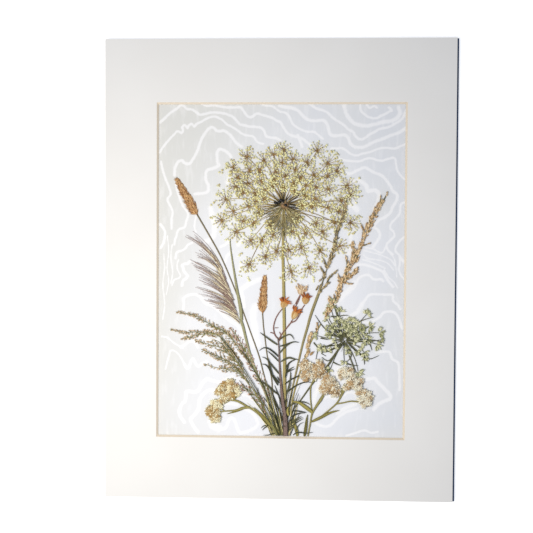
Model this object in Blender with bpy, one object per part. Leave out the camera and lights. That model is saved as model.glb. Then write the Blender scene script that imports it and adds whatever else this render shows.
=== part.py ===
"""A pressed flower picture: dried wild plants on marbled paper, in a bevelled window mat on a board.

The picture lies on its back. +X is its right side, +Y its top and +Z faces the viewer. The origin
is the centre of the back face, on the surface that the picture rests on. Plants are laid out in
millimetres from the middle of the mat, and each lies flat on one of a few levels, a stem's
thickness apart, as stems do where they cross in a pressed bunch.
"""
import math

import bmesh
import bpy

MM = 0.001

# The mount
MAT_WIDTH = 0.306
MAT_HEIGHT = 0.4035
MAT_THICKNESS = 0.0016
WINDOW_WIDTH = 0.2152
WINDOW_HEIGHT = 0.2910
WINDOW_CENTRE_X = 0.0018
WINDOW_CENTRE_Y = -0.00065
BEVEL_RUN = MAT_THICKNESS
SHEET_INSET = 0.001
SHEET_THICKNESS = 0.0005
BOARD_THICKNESS = 0.003
BOARD_SHIFT = 0.002

# The plants
GAP = 0.0003
PRESSED_THICKNESS = 0.0005
LEVEL_PITCH = PRESSED_THICKNESS + GAP
CUT_END_Y = -145.6
CURVE_STEPS = 3

SHEET_BASE = BOARD_THICKNESS + GAP
SHEET_TOP = SHEET_BASE + SHEET_THICKNESS
MAT_BASE = SHEET_TOP + GAP


def level_height(level):
    """The height of the middle of a plant that lies on the given level."""
    return SHEET_TOP + GAP + PRESSED_THICKNESS / 2 + level * LEVEL_PITCH


def clear_scene():
    for obj in list(bpy.data.objects):
        bpy.data.objects.remove(obj, do_unlink=True)


def material(name, colour, roughness, metallic=0.0):
    """A plain Principled finish."""
    finish = bpy.data.materials.new(name)
    finish.use_nodes = True
    shader = finish.node_tree.nodes["Principled BSDF"]
    shader.inputs["Base Color"].default_value = (*colour, 1.0)
    shader.inputs["Roughness"].default_value = roughness
    shader.inputs["Metallic"].default_value = metallic
    finish.diffuse_color = (*colour, 1.0)
    return finish


def collection(name):
    group = bpy.data.collections.new(name)
    bpy.context.scene.collection.children.link(group)
    return group


def add_to_picture(obj, name, colour, roughness):
    """Name the piece, give it its own material and hang it on the picture's middle."""
    obj.name = name
    obj.data.name = name
    obj.data.materials.clear()
    obj.data.materials.append(material(name + "_finish", colour, roughness))
    for owner in list(obj.users_collection):
        owner.objects.unlink(obj)
    PICTURE.objects.link(obj)
    obj.parent = MIDDLE
    return obj


def slab(name, width, height, thickness, base, colour, roughness, shift=0.0):
    """A flat board or sheet, with its lower face at the given height."""
    bpy.ops.mesh.primitive_cube_add(size=1.0)
    obj = bpy.context.active_object
    obj.scale = (width, height, thickness)
    bpy.ops.object.transform_apply(location=False, rotation=False, scale=True)
    obj.location = (shift, 0.0, base + thickness / 2)
    return add_to_picture(obj, name, colour, roughness)


def window_cutter():
    """A block that widens upwards by the bevel's run over the mat's thickness."""
    overshoot = MAT_THICKNESS
    height = MAT_THICKNESS + 2 * overshoot
    slope = BEVEL_RUN / MAT_THICKNESS
    bm = bmesh.new()
    bmesh.ops.create_cube(bm, size=2.0)
    for vert in bm.verts:
        spread = slope * (MAT_THICKNESS + overshoot if vert.co.z > 0 else -overshoot)
        vert.co.x *= WINDOW_WIDTH / 2 + spread
        vert.co.y *= WINDOW_HEIGHT / 2 + spread
        vert.co.z *= height / 2
    mesh = bpy.data.meshes.new("window_cutter")
    bm.to_mesh(mesh)
    bm.free()
    cutter = bpy.data.objects.new("window_cutter", mesh)
    cutter.location = (WINDOW_CENTRE_X, WINDOW_CENTRE_Y, MAT_BASE + MAT_THICKNESS / 2)
    cutter.hide_render = True
    cutter.display_type = "WIRE"
    cutter.parent = MIDDLE
    CUTTERS.objects.link(cutter)
    return cutter


def strand(name, route, widths, level, colour, roughness=0.8):
    """A pressed stem, blade or leaf: a tapering tube along a curve, flattened.

    The route runs from the end nearest the cut stems to the tip, with a width at each point.
    """
    curve = bpy.data.curves.new(name, "CURVE")
    curve.dimensions = "3D"
    curve.resolution_u = CURVE_STEPS
    curve.bevel_resolution = 1
    curve.bevel_depth = MM / 2
    curve.use_fill_caps = True
    spline = curve.splines.new("BEZIER")
    spline.bezier_points.add(len(route) - 1)
    for point, (x, y), width in zip(spline.bezier_points, route, widths):
        point.co = (x * MM, y * MM, 0.0)
        point.radius = width
        point.handle_left_type = "AUTO"
        point.handle_right_type = "AUTO"
    obj = bpy.data.objects.new(name, curve)
    obj.location.z = level_height(level)
    obj.scale.z = PRESSED_THICKNESS / (max(widths) * MM)
    return add_to_picture(obj, name, colour, roughness)


def patch(name, outline, level, colour, roughness=0.85):
    """A pressed head or cluster: a rounded flat outline, a stem's thickness deep."""
    curve = bpy.data.curves.new(name, "CURVE")
    curve.dimensions = "2D"
    curve.fill_mode = "BOTH"
    curve.resolution_u = CURVE_STEPS
    curve.extrude = PRESSED_THICKNESS / 2
    spline = curve.splines.new("BEZIER")
    spline.use_cyclic_u = True
    spline.bezier_points.add(len(outline) - 1)
    for point, (x, y) in zip(spline.bezier_points, outline):
        point.co = (x * MM, y * MM, 0.0)
        point.handle_left_type = "AUTO"
        point.handle_right_type = "AUTO"
    obj = bpy.data.objects.new(name, curve)
    obj.location.z = level_height(level)
    return add_to_picture(obj, name, colour, roughness)


def lobed(centre, half_width, half_height, lobes=5, dent=0.12):
    """Points around an oval whose edge swells into the given number of lobes."""
    points = []
    for step in range(2 * lobes):
        angle = math.pi * step / lobes
        reach = 1.0 if step % 2 == 0 else 1.0 - dent
        points.append((centre[0] + half_width * reach * math.cos(angle),
                       centre[1] + half_height * reach * math.sin(angle)))
    return points


def build_mount():
    slab("backing_board", MAT_WIDTH, MAT_HEIGHT, BOARD_THICKNESS, 0.0,
         (0.045, 0.075, 0.14), 0.75, shift=BOARD_SHIFT)
    slab("marbled_sheet", MAT_WIDTH - 2 * SHEET_INSET, MAT_HEIGHT - 2 * SHEET_INSET, SHEET_THICKNESS,
         SHEET_BASE, (0.76, 0.79, 0.83), 0.85)
    mat = slab("window_mat", MAT_WIDTH, MAT_HEIGHT, MAT_THICKNESS, MAT_BASE,
               (0.86, 0.85, 0.82), 0.9)
    cut = mat.modifiers.new("window", "BOOLEAN")
    cut.operation = "DIFFERENCE"
    cut.solver = "EXACT"
    cut.object = window_cutter()


def build_wild_carrot():
    """The large open umbel on its thick straight stem."""
    strand("wild_carrot_stem", [(8.6, CUT_END_Y), (6.6, -110), (5.4, -60), (4.6, -30), (3.6, 5), (4.6, 50)],
           [3.0, 3.0, 3.0, 2.8, 2.5, 2.4], 0, (0.37, 0.31, 0.11))
    patch("wild_carrot_umbel",
          [(10, -9), (-1, 8), (-12, 4), (-27, -8), (-35, 4), (-33, 16), (-52, 30), (-60, 46), (-51, 74),
           (-49, 92), (-28, 110), (-13, 103), (0, 113), (13, 109), (22, 103), (35, 113), (52, 102),
           (70, 82), (66, 60), (72, 45), (60, 29), (45, 12), (30, -9)], 2, (0.52, 0.43, 0.20))


def build_canary_grasses():
    """Two grass stems with dense furry heads, one tall and one short."""
    rust = (0.50, 0.25, 0.09)
    green = (0.30, 0.27, 0.14)
    strand("canary_grass_tall_stem",
           [(0.6, CUT_END_Y), (-5, -118), (-14, -86), (-25, -53), (-43, -5), (-61, 29), (-72.5, 49)],
           [1.1, 1.1, 1.1, 1.1, 1.0, 1.0, 1.0], 0, green)
    strand("canary_grass_tall_head", [(-73, 50), (-77, 56), (-83, 68), (-88, 77), (-91.5, 83.5)],
           [4, 9, 9, 6, 2], 0, rust)
    strand("canary_grass_short_stem", [(2.6, CUT_END_Y), (-1.6, -116), (-9, -80), (-11.6, -58), (-13.8, -38)],
           [0.9, 0.9, 0.9, 0.9, 0.9], 0, green)
    strand("canary_grass_short_head", [(-14, -37), (-13.6, -30), (-12.8, -20), (-12, -10), (-11.4, -3.5)],
           [3, 8.5, 7.5, 5, 2], 0, rust)


def build_foxtail_barley():
    """A brush of long awns with its leaf blade, on one stem."""
    strand("foxtail_barley_stem",
           [(-2.2, CUT_END_Y), (-9, -121), (-16.5, -100), (-24, -76), (-30, -54), (-32.6, -46)],
           [2.0, 2.0, 2.0, 2.0, 2.0, 1.8], 0, (0.36, 0.35, 0.26))
    strand("foxtail_barley_blade", [(-32.2, -43), (-33.6, -32), (-38, -8), (-41, 10), (-43, 28)],
           [2.4, 3.2, 2.8, 2.0, 1.0], 1, (0.33, 0.34, 0.24))
    patch("foxtail_barley_plume",
          [(-33.4, -46), (-43, -26), (-50, 0), (-66, 17), (-75, 33), (-82, 28), (-78, 18), (-80, 9),
           (-74, 2), (-78, -6), (-73, -13), (-77, -20), (-62, -30), (-46, -38)], 2, (0.42, 0.33, 0.24))


def build_panicle_grasses():
    """Seven loose grass sprays that fan out to the left from the bunch."""
    green = (0.38, 0.36, 0.20)
    pink = (0.48, 0.32, 0.28)
    sprays = [
        ([(-3, -119), (-20, -91), (-35, -68), (-47, -54), (-70, -43), (-91, -38)], [2, 3, 6, 7, 7, 3], 3, green),
        ([(-5.4, CUT_END_Y), (-14, -117), (-32, -82), (-50, -62), (-75, -54), (-95, -52.5)],
         [1.4, 1.4, 4, 7, 6, 3], 1, green),
        ([(-34, -72), (-44, -62.5), (-58, -52), (-70, -45.5), (-82, -46)], [2, 4, 5, 4, 2], 4, green),
        ([(-35, -82), (-46, -74), (-58, -68), (-72, -63), (-84, -62)], [2, 5, 7, 5, 3], 0, green),
        ([(-20, -104), (-30, -94), (-42, -83), (-55, -76), (-69, -69)], [2, 4, 6, 6, 3], 2, green),
        ([(-13, -112), (-22, -103), (-36, -91), (-50, -87), (-67, -83)], [2, 4, 6, 6, 3], 3, green),
        ([(-7, -125), (-13, -118), (-20, -110.5), (-30, -103.5), (-41, -101)], [2, 4, 6, 7, 3], 2, pink),
    ]
    for number, (route, widths, level, colour) in enumerate(sprays, start=1):
        strand(f"panicle_grass_spray_{number}", route, widths, level, colour)


def build_left_everlasting():
    """The low stem of creamy flower clusters at the bottom left."""
    cream = (0.66, 0.58, 0.34)
    leaf = (0.36, 0.36, 0.16)
    strand("left_everlasting_stem",
           [(-6, -143), (-12, -134), (-20, -125.5), (-30, -118.5), (-37, -114.5)],
           [1.6, 1.6, 1.6, 1.6, 1.4], 2, (0.36, 0.32, 0.16))
    strand("left_everlasting_branch", [(-28, -124), (-38, -124.6), (-50, -125.4)], [1.4, 1.4, 1.2], 2,
           (0.36, 0.32, 0.16))
    patch("left_everlasting_upper_cluster", lobed((-43.5, -106.5), 11, 11.5), 3, cream)
    patch("left_everlasting_lower_cluster", lobed((-54.5, -124.5), 7, 11), 3, cream)
    strand("left_everlasting_narrow_leaf", [(-23, -118.5), (-32, -122), (-45, -128.5)], [1.6, 2.2, 0.8], 1, leaf)
    strand("left_everlasting_broad_leaf", [(-1.5, -140.5), (-9, -134), (-16, -126.5), (-22, -120)],
           [1.5, 4.4, 4.2, 1.2], 4, leaf)


def build_leafy_stem():
    """The grey stem in the middle, with its narrow dark leaves in tufts on both sides."""
    green = (0.17, 0.20, 0.08)
    strand("leafy_stem", [(6.5, CUT_END_Y), (5, -122), (2.4, -95), (0.8, -75), (0, -58.5)],
           [4.2, 3.8, 3.0, 2.2, 1.6], 2, (0.20, 0.15, 0.16))
    left = [
        ([(-1.8, -66), (-8, -62), (-16.5, -54.5)], [1.4, 2.6, 0.8]),
        ([(-1.4, -80), (-7, -73), (-16.5, -70)], [1.4, 6, 1.5]),
        ([(-0.8, -98), (-6, -86), (-14, -79)], [1.6, 7, 2]),
        ([(0.6, -110), (-6, -104), (-20, -97)], [1.4, 2.6, 0.8]),
    ]
    right = [
        ([(2, -68), (9, -60.5), (18, -60.5)], [1.2, 6, 2]),
        ([(3.6, -88), (9, -80), (17.5, -79)], [1.4, 7, 4]),
        ([(6, -99), (13, -92), (27, -89)], [1.4, 5, 0.8]),
        ([(7, -109), (16, -101), (30, -98)], [1.4, 3, 0.8]),
        ([(8.2, -124), (16, -120), (29, -118.5)], [1.4, 5, 1]),
        ([(9.6, -140), (16, -131), (26, -127)], [1.6, 8, 2]),
    ]
    for side, tufts in (("left", left), ("right", right)):
        for number, (route, widths) in enumerate(tufts, start=1):
            strand(f"leafy_stem_{side}_leaves_{number}", route, widths, 4, green)


def build_orange_flowers():
    """Four dried orange heads on thin stalks above the leafy stem."""
    stalk = (0.32, 0.14, 0.07)
    petal = (0.62, 0.30, 0.07)
    heads = [
        ([(-0.9, -57.5), (-3.4, -50), (-1.5, -41), (4, -33.5)], (6, -27.5), 4.2, 6.5),
        ([(10.2, -37), (13.5, -31), (18.6, -22)], (19.6, -15.6), 3.4, 5.2),
        ([(9.8, -48.5), (15, -44), (20, -35.5), (23, -30)], (25.2, -24.6), 3.8, 5.8),
        ([(0.9, -57.5), (3.6, -54), (7.6, -48.5), (11.8, -42.2)], (15.5, -37), 4.2, 5.5),
    ]
    for letter, (route, centre, half_width, half_height) in zip("abcd", heads):
        strand(f"orange_flower_stalk_{letter}", route, [1.0] * len(route), 1, stalk)
        patch(f"orange_flower_head_{letter}", lobed(centre, half_width, half_height, lobes=4), 3, petal)


def build_docks():
    """Two long slender seed spikes, one grey green and one rust, on the right."""
    strand("green_dock_stem",
           [(12.2, CUT_END_Y), (11.6, -114), (16.2, -82), (25, -50), (32, -30), (36, -20)],
           [1.4, 1.4, 1.4, 1.4, 1.3, 1.3], 0, (0.28, 0.29, 0.16))
    strand("green_dock_spike", [(36.4, -19), (43, 0), (49, 20), (55, 50), (59, 61)], [3, 4, 5, 4.5, 1.5], 0,
           (0.33, 0.34, 0.20))
    strand("rust_dock_stem",
           [(14.6, CUT_END_Y), (14, -113), (19, -84), (27, -64), (37, -48), (44, -34)],
           [1.4, 1.4, 1.4, 1.4, 1.3, 1.3], 0, (0.36, 0.35, 0.18))
    strand("rust_dock_spike", [(44.6, -33), (53, -18), (62, 5), (76, 30), (90, 59), (94.5, 68)],
           [3, 5, 6, 6, 4, 1.5], 0, (0.50, 0.27, 0.10))


def build_young_umbel():
    """The green half-open umbel on its own stem at the lower right."""
    strand("young_umbel_stem", [(17.4, CUT_END_Y), (19.5, -118), (30, -100), (44, -83), (52, -71)],
           [1.6, 1.8, 1.8, 1.8, 1.6], 1, (0.20, 0.20, 0.10))
    patch("young_umbel",
          [(54, -84), (42, -86), (32, -78), (38, -66), (32, -57), (34, -40), (48, -42), (58, -33), (78, -33),
           (86, -42), (94, -55), (92, -66), (87, -76), (72, -91), (62, -83)], 2, (0.33, 0.35, 0.17))


def build_right_everlasting():
    """The forked stem of creamy flower clusters at the bottom right."""
    cream = (0.64, 0.55, 0.33)
    stem = (0.33, 0.30, 0.15)
    strand("right_everlasting_stem",
           [(24.4, CUT_END_Y), (27.6, -132), (33, -120), (41, -108), (46, -102)],
           [1.8, 1.9, 2.2, 2.8, 2.0], 2, stem)
    strand("right_everlasting_left_branch", [(27.8, -125), (27.9, -112), (27.4, -98)], [1.4, 1.3, 1.2], 2, stem)
    strand("right_everlasting_right_branch",
           [(31.6, -131), (42, -124.6), (51, -117), (61, -104)], [1.4, 1.5, 1.5, 1.3], 2, stem)
    clusters = [((24.5, -87.5), 6, 10), ((36.2, -86.2), 5.2, 8), ((46, -101.5), 10.5, 10.5),
                ((60.8, -90), 9, 6.2), ((67.2, -101.6), 9.4, 5), ((77, -114), 7.6, 7)]
    for letter, (centre, half_width, half_height) in zip("abcdef", clusters):
        patch(f"right_everlasting_cluster_{letter}", lobed(centre, half_width, half_height), 3, cream)
    strand("right_everlasting_leaf", [(33.4, -131.6), (44, -127), (54, -122.4)], [1.4, 3.4, 1.0], 3,
           (0.33, 0.34, 0.16))


clear_scene()
PICTURE = collection("pressed_flower_picture")
CUTTERS = collection("cutters")
MIDDLE = bpy.data.objects.new("picture_middle", None)
MIDDLE.location.x = -BOARD_SHIFT / 2
PICTURE.objects.link(MIDDLE)
bpy.context.view_layer.update()

build_mount()
build_wild_carrot()
build_canary_grasses()
build_foxtail_barley()
build_panicle_grasses()
build_left_everlasting()
build_leafy_stem()
build_orange_flowers()
build_docks()
build_young_umbel()
build_right_everlasting()
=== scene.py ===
"""Looks of a pressed flower picture: dried wild plants on marbled paper in a white window mat.

Every length in the plants' own lists is in millimetres, measured from the middle of the mat, with
x to the right and y to the top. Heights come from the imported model.
"""

import math

import bpy
import numpy as np
from bpy.props import FloatProperty, FloatVectorProperty, IntProperty, PointerProperty
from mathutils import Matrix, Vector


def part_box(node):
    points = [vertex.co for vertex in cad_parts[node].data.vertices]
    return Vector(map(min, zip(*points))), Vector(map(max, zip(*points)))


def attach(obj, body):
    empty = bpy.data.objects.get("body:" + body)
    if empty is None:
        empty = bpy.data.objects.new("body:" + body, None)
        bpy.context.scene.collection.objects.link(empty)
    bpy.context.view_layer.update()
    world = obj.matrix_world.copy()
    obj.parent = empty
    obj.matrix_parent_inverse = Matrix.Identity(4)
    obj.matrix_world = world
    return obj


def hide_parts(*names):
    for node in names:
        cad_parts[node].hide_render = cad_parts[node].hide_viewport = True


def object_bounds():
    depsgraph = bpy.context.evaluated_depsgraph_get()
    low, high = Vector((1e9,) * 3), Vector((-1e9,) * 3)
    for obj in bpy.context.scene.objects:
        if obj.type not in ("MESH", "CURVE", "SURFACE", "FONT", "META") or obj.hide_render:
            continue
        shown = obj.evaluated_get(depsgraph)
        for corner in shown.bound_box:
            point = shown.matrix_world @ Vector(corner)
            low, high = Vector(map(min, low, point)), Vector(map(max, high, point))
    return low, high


bl_info = {
    "name": "Pressed Flower Picture",
    "version": (1, 0, 0),
    "blender": (4, 5, 0),
    "location": "3D View > Sidebar > Pressed Flowers",
    "description": "Builds the dried plants, marbled paper and window mat of a pressed flower picture",
    "category": "Object",
}

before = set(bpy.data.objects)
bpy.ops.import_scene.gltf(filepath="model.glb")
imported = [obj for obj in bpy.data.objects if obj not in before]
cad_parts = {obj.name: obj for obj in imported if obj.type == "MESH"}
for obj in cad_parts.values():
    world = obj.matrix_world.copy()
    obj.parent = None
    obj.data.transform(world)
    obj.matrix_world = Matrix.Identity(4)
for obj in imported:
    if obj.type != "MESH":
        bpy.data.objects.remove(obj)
CAD_LOW, CAD_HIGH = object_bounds()
MM = 0.001
MAT_LOW, MAT_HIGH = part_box("window_mat")
MIDDLE = np.array([(MAT_LOW.x + MAT_HIGH.x) / 2, (MAT_LOW.y + MAT_HIGH.y) / 2, 0.0])
PAPER_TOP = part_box("marbled_sheet")[1].z / MM
# The lowest layer of plants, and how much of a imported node's height above it is kept
BED = PAPER_TOP + 0.4
PRESSING = 0.3
# Where the cut stems end at the foot of the bunch
CUT_END_Y = -145.6
GOLDEN_ANGLE = math.pi * (3 - math.sqrt(5))
FIBRE_SCALE = 2600.0


def height_of(node):
    """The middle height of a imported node, in millimetres, drawn most of the way down to the lowest
    layer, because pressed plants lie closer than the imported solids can."""
    low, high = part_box(node)
    return BED + PRESSING * ((low.z + high.z) / 2 / MM - BED)


def colour(red, green, blue):
    """Scene-linear colour of a screen colour given from 0 to 255."""
    share = np.array([red, green, blue]) / 255.0
    linear = np.where(share <= 0.04045, share / 12.92, ((share + 0.055) / 1.055) ** 2.4)
    return tuple(float(value) for value in linear)


# ---------------------------------------------------------------- settings

class MountSettings(bpy.types.PropertyGroup):
    mat_colour: FloatVectorProperty(name="Mat", description="Face of the window mat", subtype="COLOR",
                                    default=colour(240, 240, 238))
    core_colour: FloatVectorProperty(name="Core", description="Cut bevel of the mat", subtype="COLOR",
                                     default=colour(232, 220, 201))
    paper_colour: FloatVectorProperty(name="Paper", description="Ground of the marbled paper",
                                      subtype="COLOR", default=colour(226, 230, 236))
    vein_colour: FloatVectorProperty(name="Vein", description="Marbling lines", subtype="COLOR",
                                     default=colour(252, 253, 255))
    # The board's navy is a painted shadow where the board shows past the mat's right edge
    board_and_shadow_colour: FloatVectorProperty(name="Board", description="Backing board", subtype="COLOR",
                                      default=colour(52, 74, 106))
    tooth: FloatProperty(name="Tooth", description="Depth of the paper's surface grain", unit="LENGTH",
                         default=0.00003, precision=6)


class PlantSettings(bpy.types.PropertyGroup):
    florets: IntProperty(name="Florets", description="Florets on one umbellet of the wild carrot",
                         default=26, min=5, max=60)
    floret_size: FloatProperty(name="Floret size", description="Width of one floret, in millimetres",
                               default=2.5, min=0.5, max=4.0)
    awns: IntProperty(name="Awns", description="Awns in the barley brush", default=78, min=20, max=600)
    bristles: IntProperty(name="Bristles", description="Spikelets on a canary grass head", default=400,
                          min=50, max=1200)
    spikelets: IntProperty(name="Spikelets", description="Spikelets per centimetre of grass spray",
                           default=16, min=2, max=60)
    bracts: IntProperty(name="Bracts", description="Papery bracts on one everlasting head", default=24,
                        min=12, max=120)


class StageSettings(bpy.types.PropertyGroup):
    floor_colour: FloatVectorProperty(name="Floor", description="Plain floor", subtype="COLOR",
                                      default=(0.93, 0.93, 0.93))
    key_power: FloatProperty(name="Key light", description="Power of the large soft light", unit="POWER",
                             default=2.3)
    fill_strength: FloatProperty(name="Fill", description="Strength of the pale surroundings", default=0.4)
    lens: FloatProperty(name="Lens", description="Focal length of the camera, in millimetres", default=53.66)


# ---------------------------------------------------------------- shader arithmetic

class Signal:
    """A number in a material's node tree, with operators that add Math nodes."""

    def __init__(self, tree, socket):
        self.tree = tree
        self.socket = socket

    def math(self, operation, *values):
        node = self.tree.nodes.new("ShaderNodeMath")
        node.operation = operation
        for socket, value in zip(node.inputs, values):
            plug(self.tree, socket, value)
        return Signal(self.tree, node.outputs[0])

    def __add__(self, other):
        return self.math("ADD", self, other)

    def __sub__(self, other):
        return self.math("SUBTRACT", self, other)

    def __mul__(self, other):
        return self.math("MULTIPLY", self, other)

    def __truediv__(self, other):
        return self.math("DIVIDE", self, other)

    def __rsub__(self, other):
        return self.math("SUBTRACT", other, self)

    __radd__ = __add__
    __rmul__ = __mul__

    def size(self):
        return self.math("ABSOLUTE", self)

    def step(self, low, high):
        """0 at low and 1 at high with an eased ramp between; low may lie above high."""
        node = self.tree.nodes.new("ShaderNodeMapRange")
        node.interpolation_type = "SMOOTHSTEP"
        plug(self.tree, node.inputs["Value"], self)
        if low <= high:
            span = (low, high, 0.0, 1.0)
        else:
            span = (high, low, 1.0, 0.0)
        for name, value in zip(("From Min", "From Max", "To Min", "To Max"), span):
            node.inputs[name].default_value = value
        return Signal(self.tree, node.outputs["Result"])


def plug(tree, socket, value):
    """Feed a socket with a signal's link or with a plain value."""
    if isinstance(value, Signal):
        tree.links.new(value.socket, socket)
    elif socket.type == "RGBA" and len(value) == 3:
        socket.default_value = (*value, 1.0)
    else:
        socket.default_value = value


class Finish:
    """A Principled material under construction."""

    def __init__(self, name, roughness, specular=0.35):
        self.material = bpy.data.materials.new(name)
        self.material.use_nodes = True
        self.tree = self.material.node_tree
        self.shader = self.tree.nodes["Principled BSDF"]
        self.shader.inputs["Roughness"].default_value = roughness
        self.shader.inputs["Specular IOR Level"].default_value = specular

    def node(self, kind, settings=None, output=0, **sockets):
        """One node of the given kind: settings first, then socket values by name."""
        node = self.tree.nodes.new(kind)
        for name, value in (settings or {}).items():
            setattr(node, name, value)
        for name, value in sockets.items():
            plug(self.tree, node.inputs[name.replace("_", " ")], value)
        return Signal(self.tree, node.outputs[output])

    def place(self):
        return self.node("ShaderNodeTexCoord", output="Object")

    def attribute(self, name):
        return self.node("ShaderNodeAttribute", {"attribute_name": name}, output="Fac")

    def noise(self, scale, detail=2.0, stretch=(1.0, 1.0, 1.0)):
        spot = self.place()
        if stretch != (1.0, 1.0, 1.0):
            spot = self.node("ShaderNodeMapping", Vector=spot, Scale=stretch)
        return self.node("ShaderNodeTexNoise", Vector=spot, Scale=scale, Detail=detail)

    def mix(self, share, first, second):
        """The first colour at share 0 and the second at share 1."""
        node = self.tree.nodes.new("ShaderNodeMix")
        node.data_type = "RGBA"
        plug(self.tree, node.inputs[0], share)
        plug(self.tree, node.inputs[6], first)
        plug(self.tree, node.inputs[7], second)
        return Signal(self.tree, node.outputs[2])

    def paint(self, signal):
        plug(self.tree, self.shader.inputs["Base Color"], signal)

    def roughness(self, signal):
        plug(self.tree, self.shader.inputs["Roughness"], signal)

    def bump(self, height, distance, strength=1.0):
        result = self.node("ShaderNodeBump", Height=height, Distance=distance, Strength=strength)
        plug(self.tree, self.shader.inputs["Normal"], result)


def plant_finish(name, pale, deep, tip=None, spot=None, rim=None, roughness=0.75, edge_shade=0.45):
    """A dried plant surface: each piece between a pale and a deep colour by its own tone, mottled,
    fading to another colour at its tip, with painted shade along both its edges, or painted shade in
    the rim colour on its right side, and with fine fibre relief. Colours are screen colours from 0 to 255."""
    pale, deep = colour(*pale), colour(*deep)
    finish = Finish(name, roughness)
    tone = finish.attribute("tone")
    along = finish.attribute("along")
    across = finish.attribute("across")
    mottle = finish.noise(900.0, 3.0)
    shade = (tone * 0.75 + mottle * 0.7 - 0.22).step(0.0, 1.0)
    body = finish.mix(shade, deep, pale)
    if tip:
        body = finish.mix(along.step(0.45, 0.95), body, colour(*tip))
    if spot:
        body = finish.mix(finish.noise(420.0, 2.0).step(0.56, 0.68) * 0.8, body, colour(*spot))
    # Painted shade on the right side of each piece, the side turned from the light, in the rim colour
    if rim:
        body = finish.mix(across.step(0.3, 0.95) * edge_shade, body, colour(*rim))
    else:
        # Painted shade along both edges of each piece, where its sides turn from the light
        shadow = tuple(channel * 0.35 for channel in deep)
        body = finish.mix(across.size().step(0.35, 1.0) * edge_shade, body, shadow)
    finish.paint(body)
    finish.roughness(roughness - 0.12 + mottle * 0.24)
    finish.bump(finish.noise(FIBRE_SCALE, 3.0), 0.00012, 0.6)
    return finish.material


# ---------------------------------------------------------------- surfaces

class Batch:
    """Points, faces and three numbers for each point: tone, along and across."""

    def __init__(self, points, faces, tone, along, across):
        self.points = points
        self.faces = faces
        self.values = {"tone": tone, "along": along, "across": across}


def smooth_route(places, count):
    """A curve through given points, evenly spaced: between two points it is a cubic whose
    slope at each is half the step between that point's neighbours (Catmull-Rom)."""
    knots = np.asarray(places, float)
    padded = np.vstack([2 * knots[0] - knots[1], knots, 2 * knots[-1] - knots[-2]])
    fine = np.linspace(0, len(knots) - 1, 24 * len(knots))
    index = np.minimum(fine.astype(int), len(knots) - 2)
    share = (fine - index)[:, None]
    before, start, end, after = (padded[index + shift] for shift in range(4))
    curve = 0.5 * (2 * start + (end - before) * share
                   + (2 * before - 5 * start + 4 * end - after) * share ** 2
                   + (3 * start - before - 3 * end + after) * share ** 3)
    travelled = np.concatenate([[0], np.cumsum(np.linalg.norm(np.diff(curve, axis=0), axis=1))])
    stops = np.linspace(0, travelled[-1], count)
    return np.stack([np.interp(stops, travelled, curve[:, axis]) for axis in range(curve.shape[1])], axis=1)


def arcs(starts, ends, bows, count):
    """Many curves at once: a straight run from start to end, pushed sideways in the plane of the
    paper by bow times a parabola that is 0 at both ends and 1 in the middle."""
    starts, ends = np.asarray(starts, float), np.asarray(ends, float)
    share = np.linspace(0, 1, count)[None, :, None]
    run = ends - starts
    side = np.stack([-run[:, 1], run[:, 0], np.zeros(len(run))], axis=1)
    side /= np.maximum(np.linalg.norm(side, axis=1), 1e-6)[:, None]
    hump = 4 * share * (1 - share)
    return (starts[:, None, :] + run[:, None, :] * share
            + side[:, None, :] * np.asarray(bows, float)[:, None, None] * hump)


def headings(turn):
    """Unit directions at the given angles: their cosine to the right and their sine to the top."""
    return np.stack([np.cos(turn), np.sin(turn)], axis=-1)


def turned(directions, angle):
    """Flat directions turned to the left by an angle."""
    x, y = directions[:, 0], directions[:, 1]
    return np.stack([x * np.cos(angle) - y * np.sin(angle), x * np.sin(angle) + y * np.cos(angle)], axis=1)


def rightward(run):
    """The flat direction to the right of each given one."""
    return np.stack([run[..., 1], -run[..., 0]], axis=-1)


def spine(places, stops):
    """The points of a smooth route and its unit direction at each of them."""
    axis = smooth_route(places, stops)
    run = np.gradient(axis, axis=0)
    return axis, run / np.linalg.norm(run, axis=1)[:, None]


def widths_along(stops, shares, widths):
    """One row of widths at even stops along a path, read off between widths at given shares."""
    return np.interp(np.linspace(0, 1, stops), shares, widths)[None]


def oval_section(sides, ribs=0, depth=0.0):
    """Points round a unit circle, with the radius rippled by a cosine for ribs."""
    turn = np.arange(sides) * 2 * np.pi / sides
    return headings(turn) * (1 + depth * np.cos(ribs * turn))[:, None]


def leaf_section(fold=0.9):
    """A thin closed section: an upper edge that rises from a middle groove to the rims, by the
    fold times the sideways share to the power 0.7, and a lower edge 0.7 units below it."""
    across = np.linspace(1, -1, 5)
    rise = fold * np.abs(across) ** 0.7
    upper = np.stack([across, rise], axis=1)
    lower = np.stack([across, rise - 0.7], axis=1)
    return np.vstack([upper, lower[::-1]])


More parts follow.
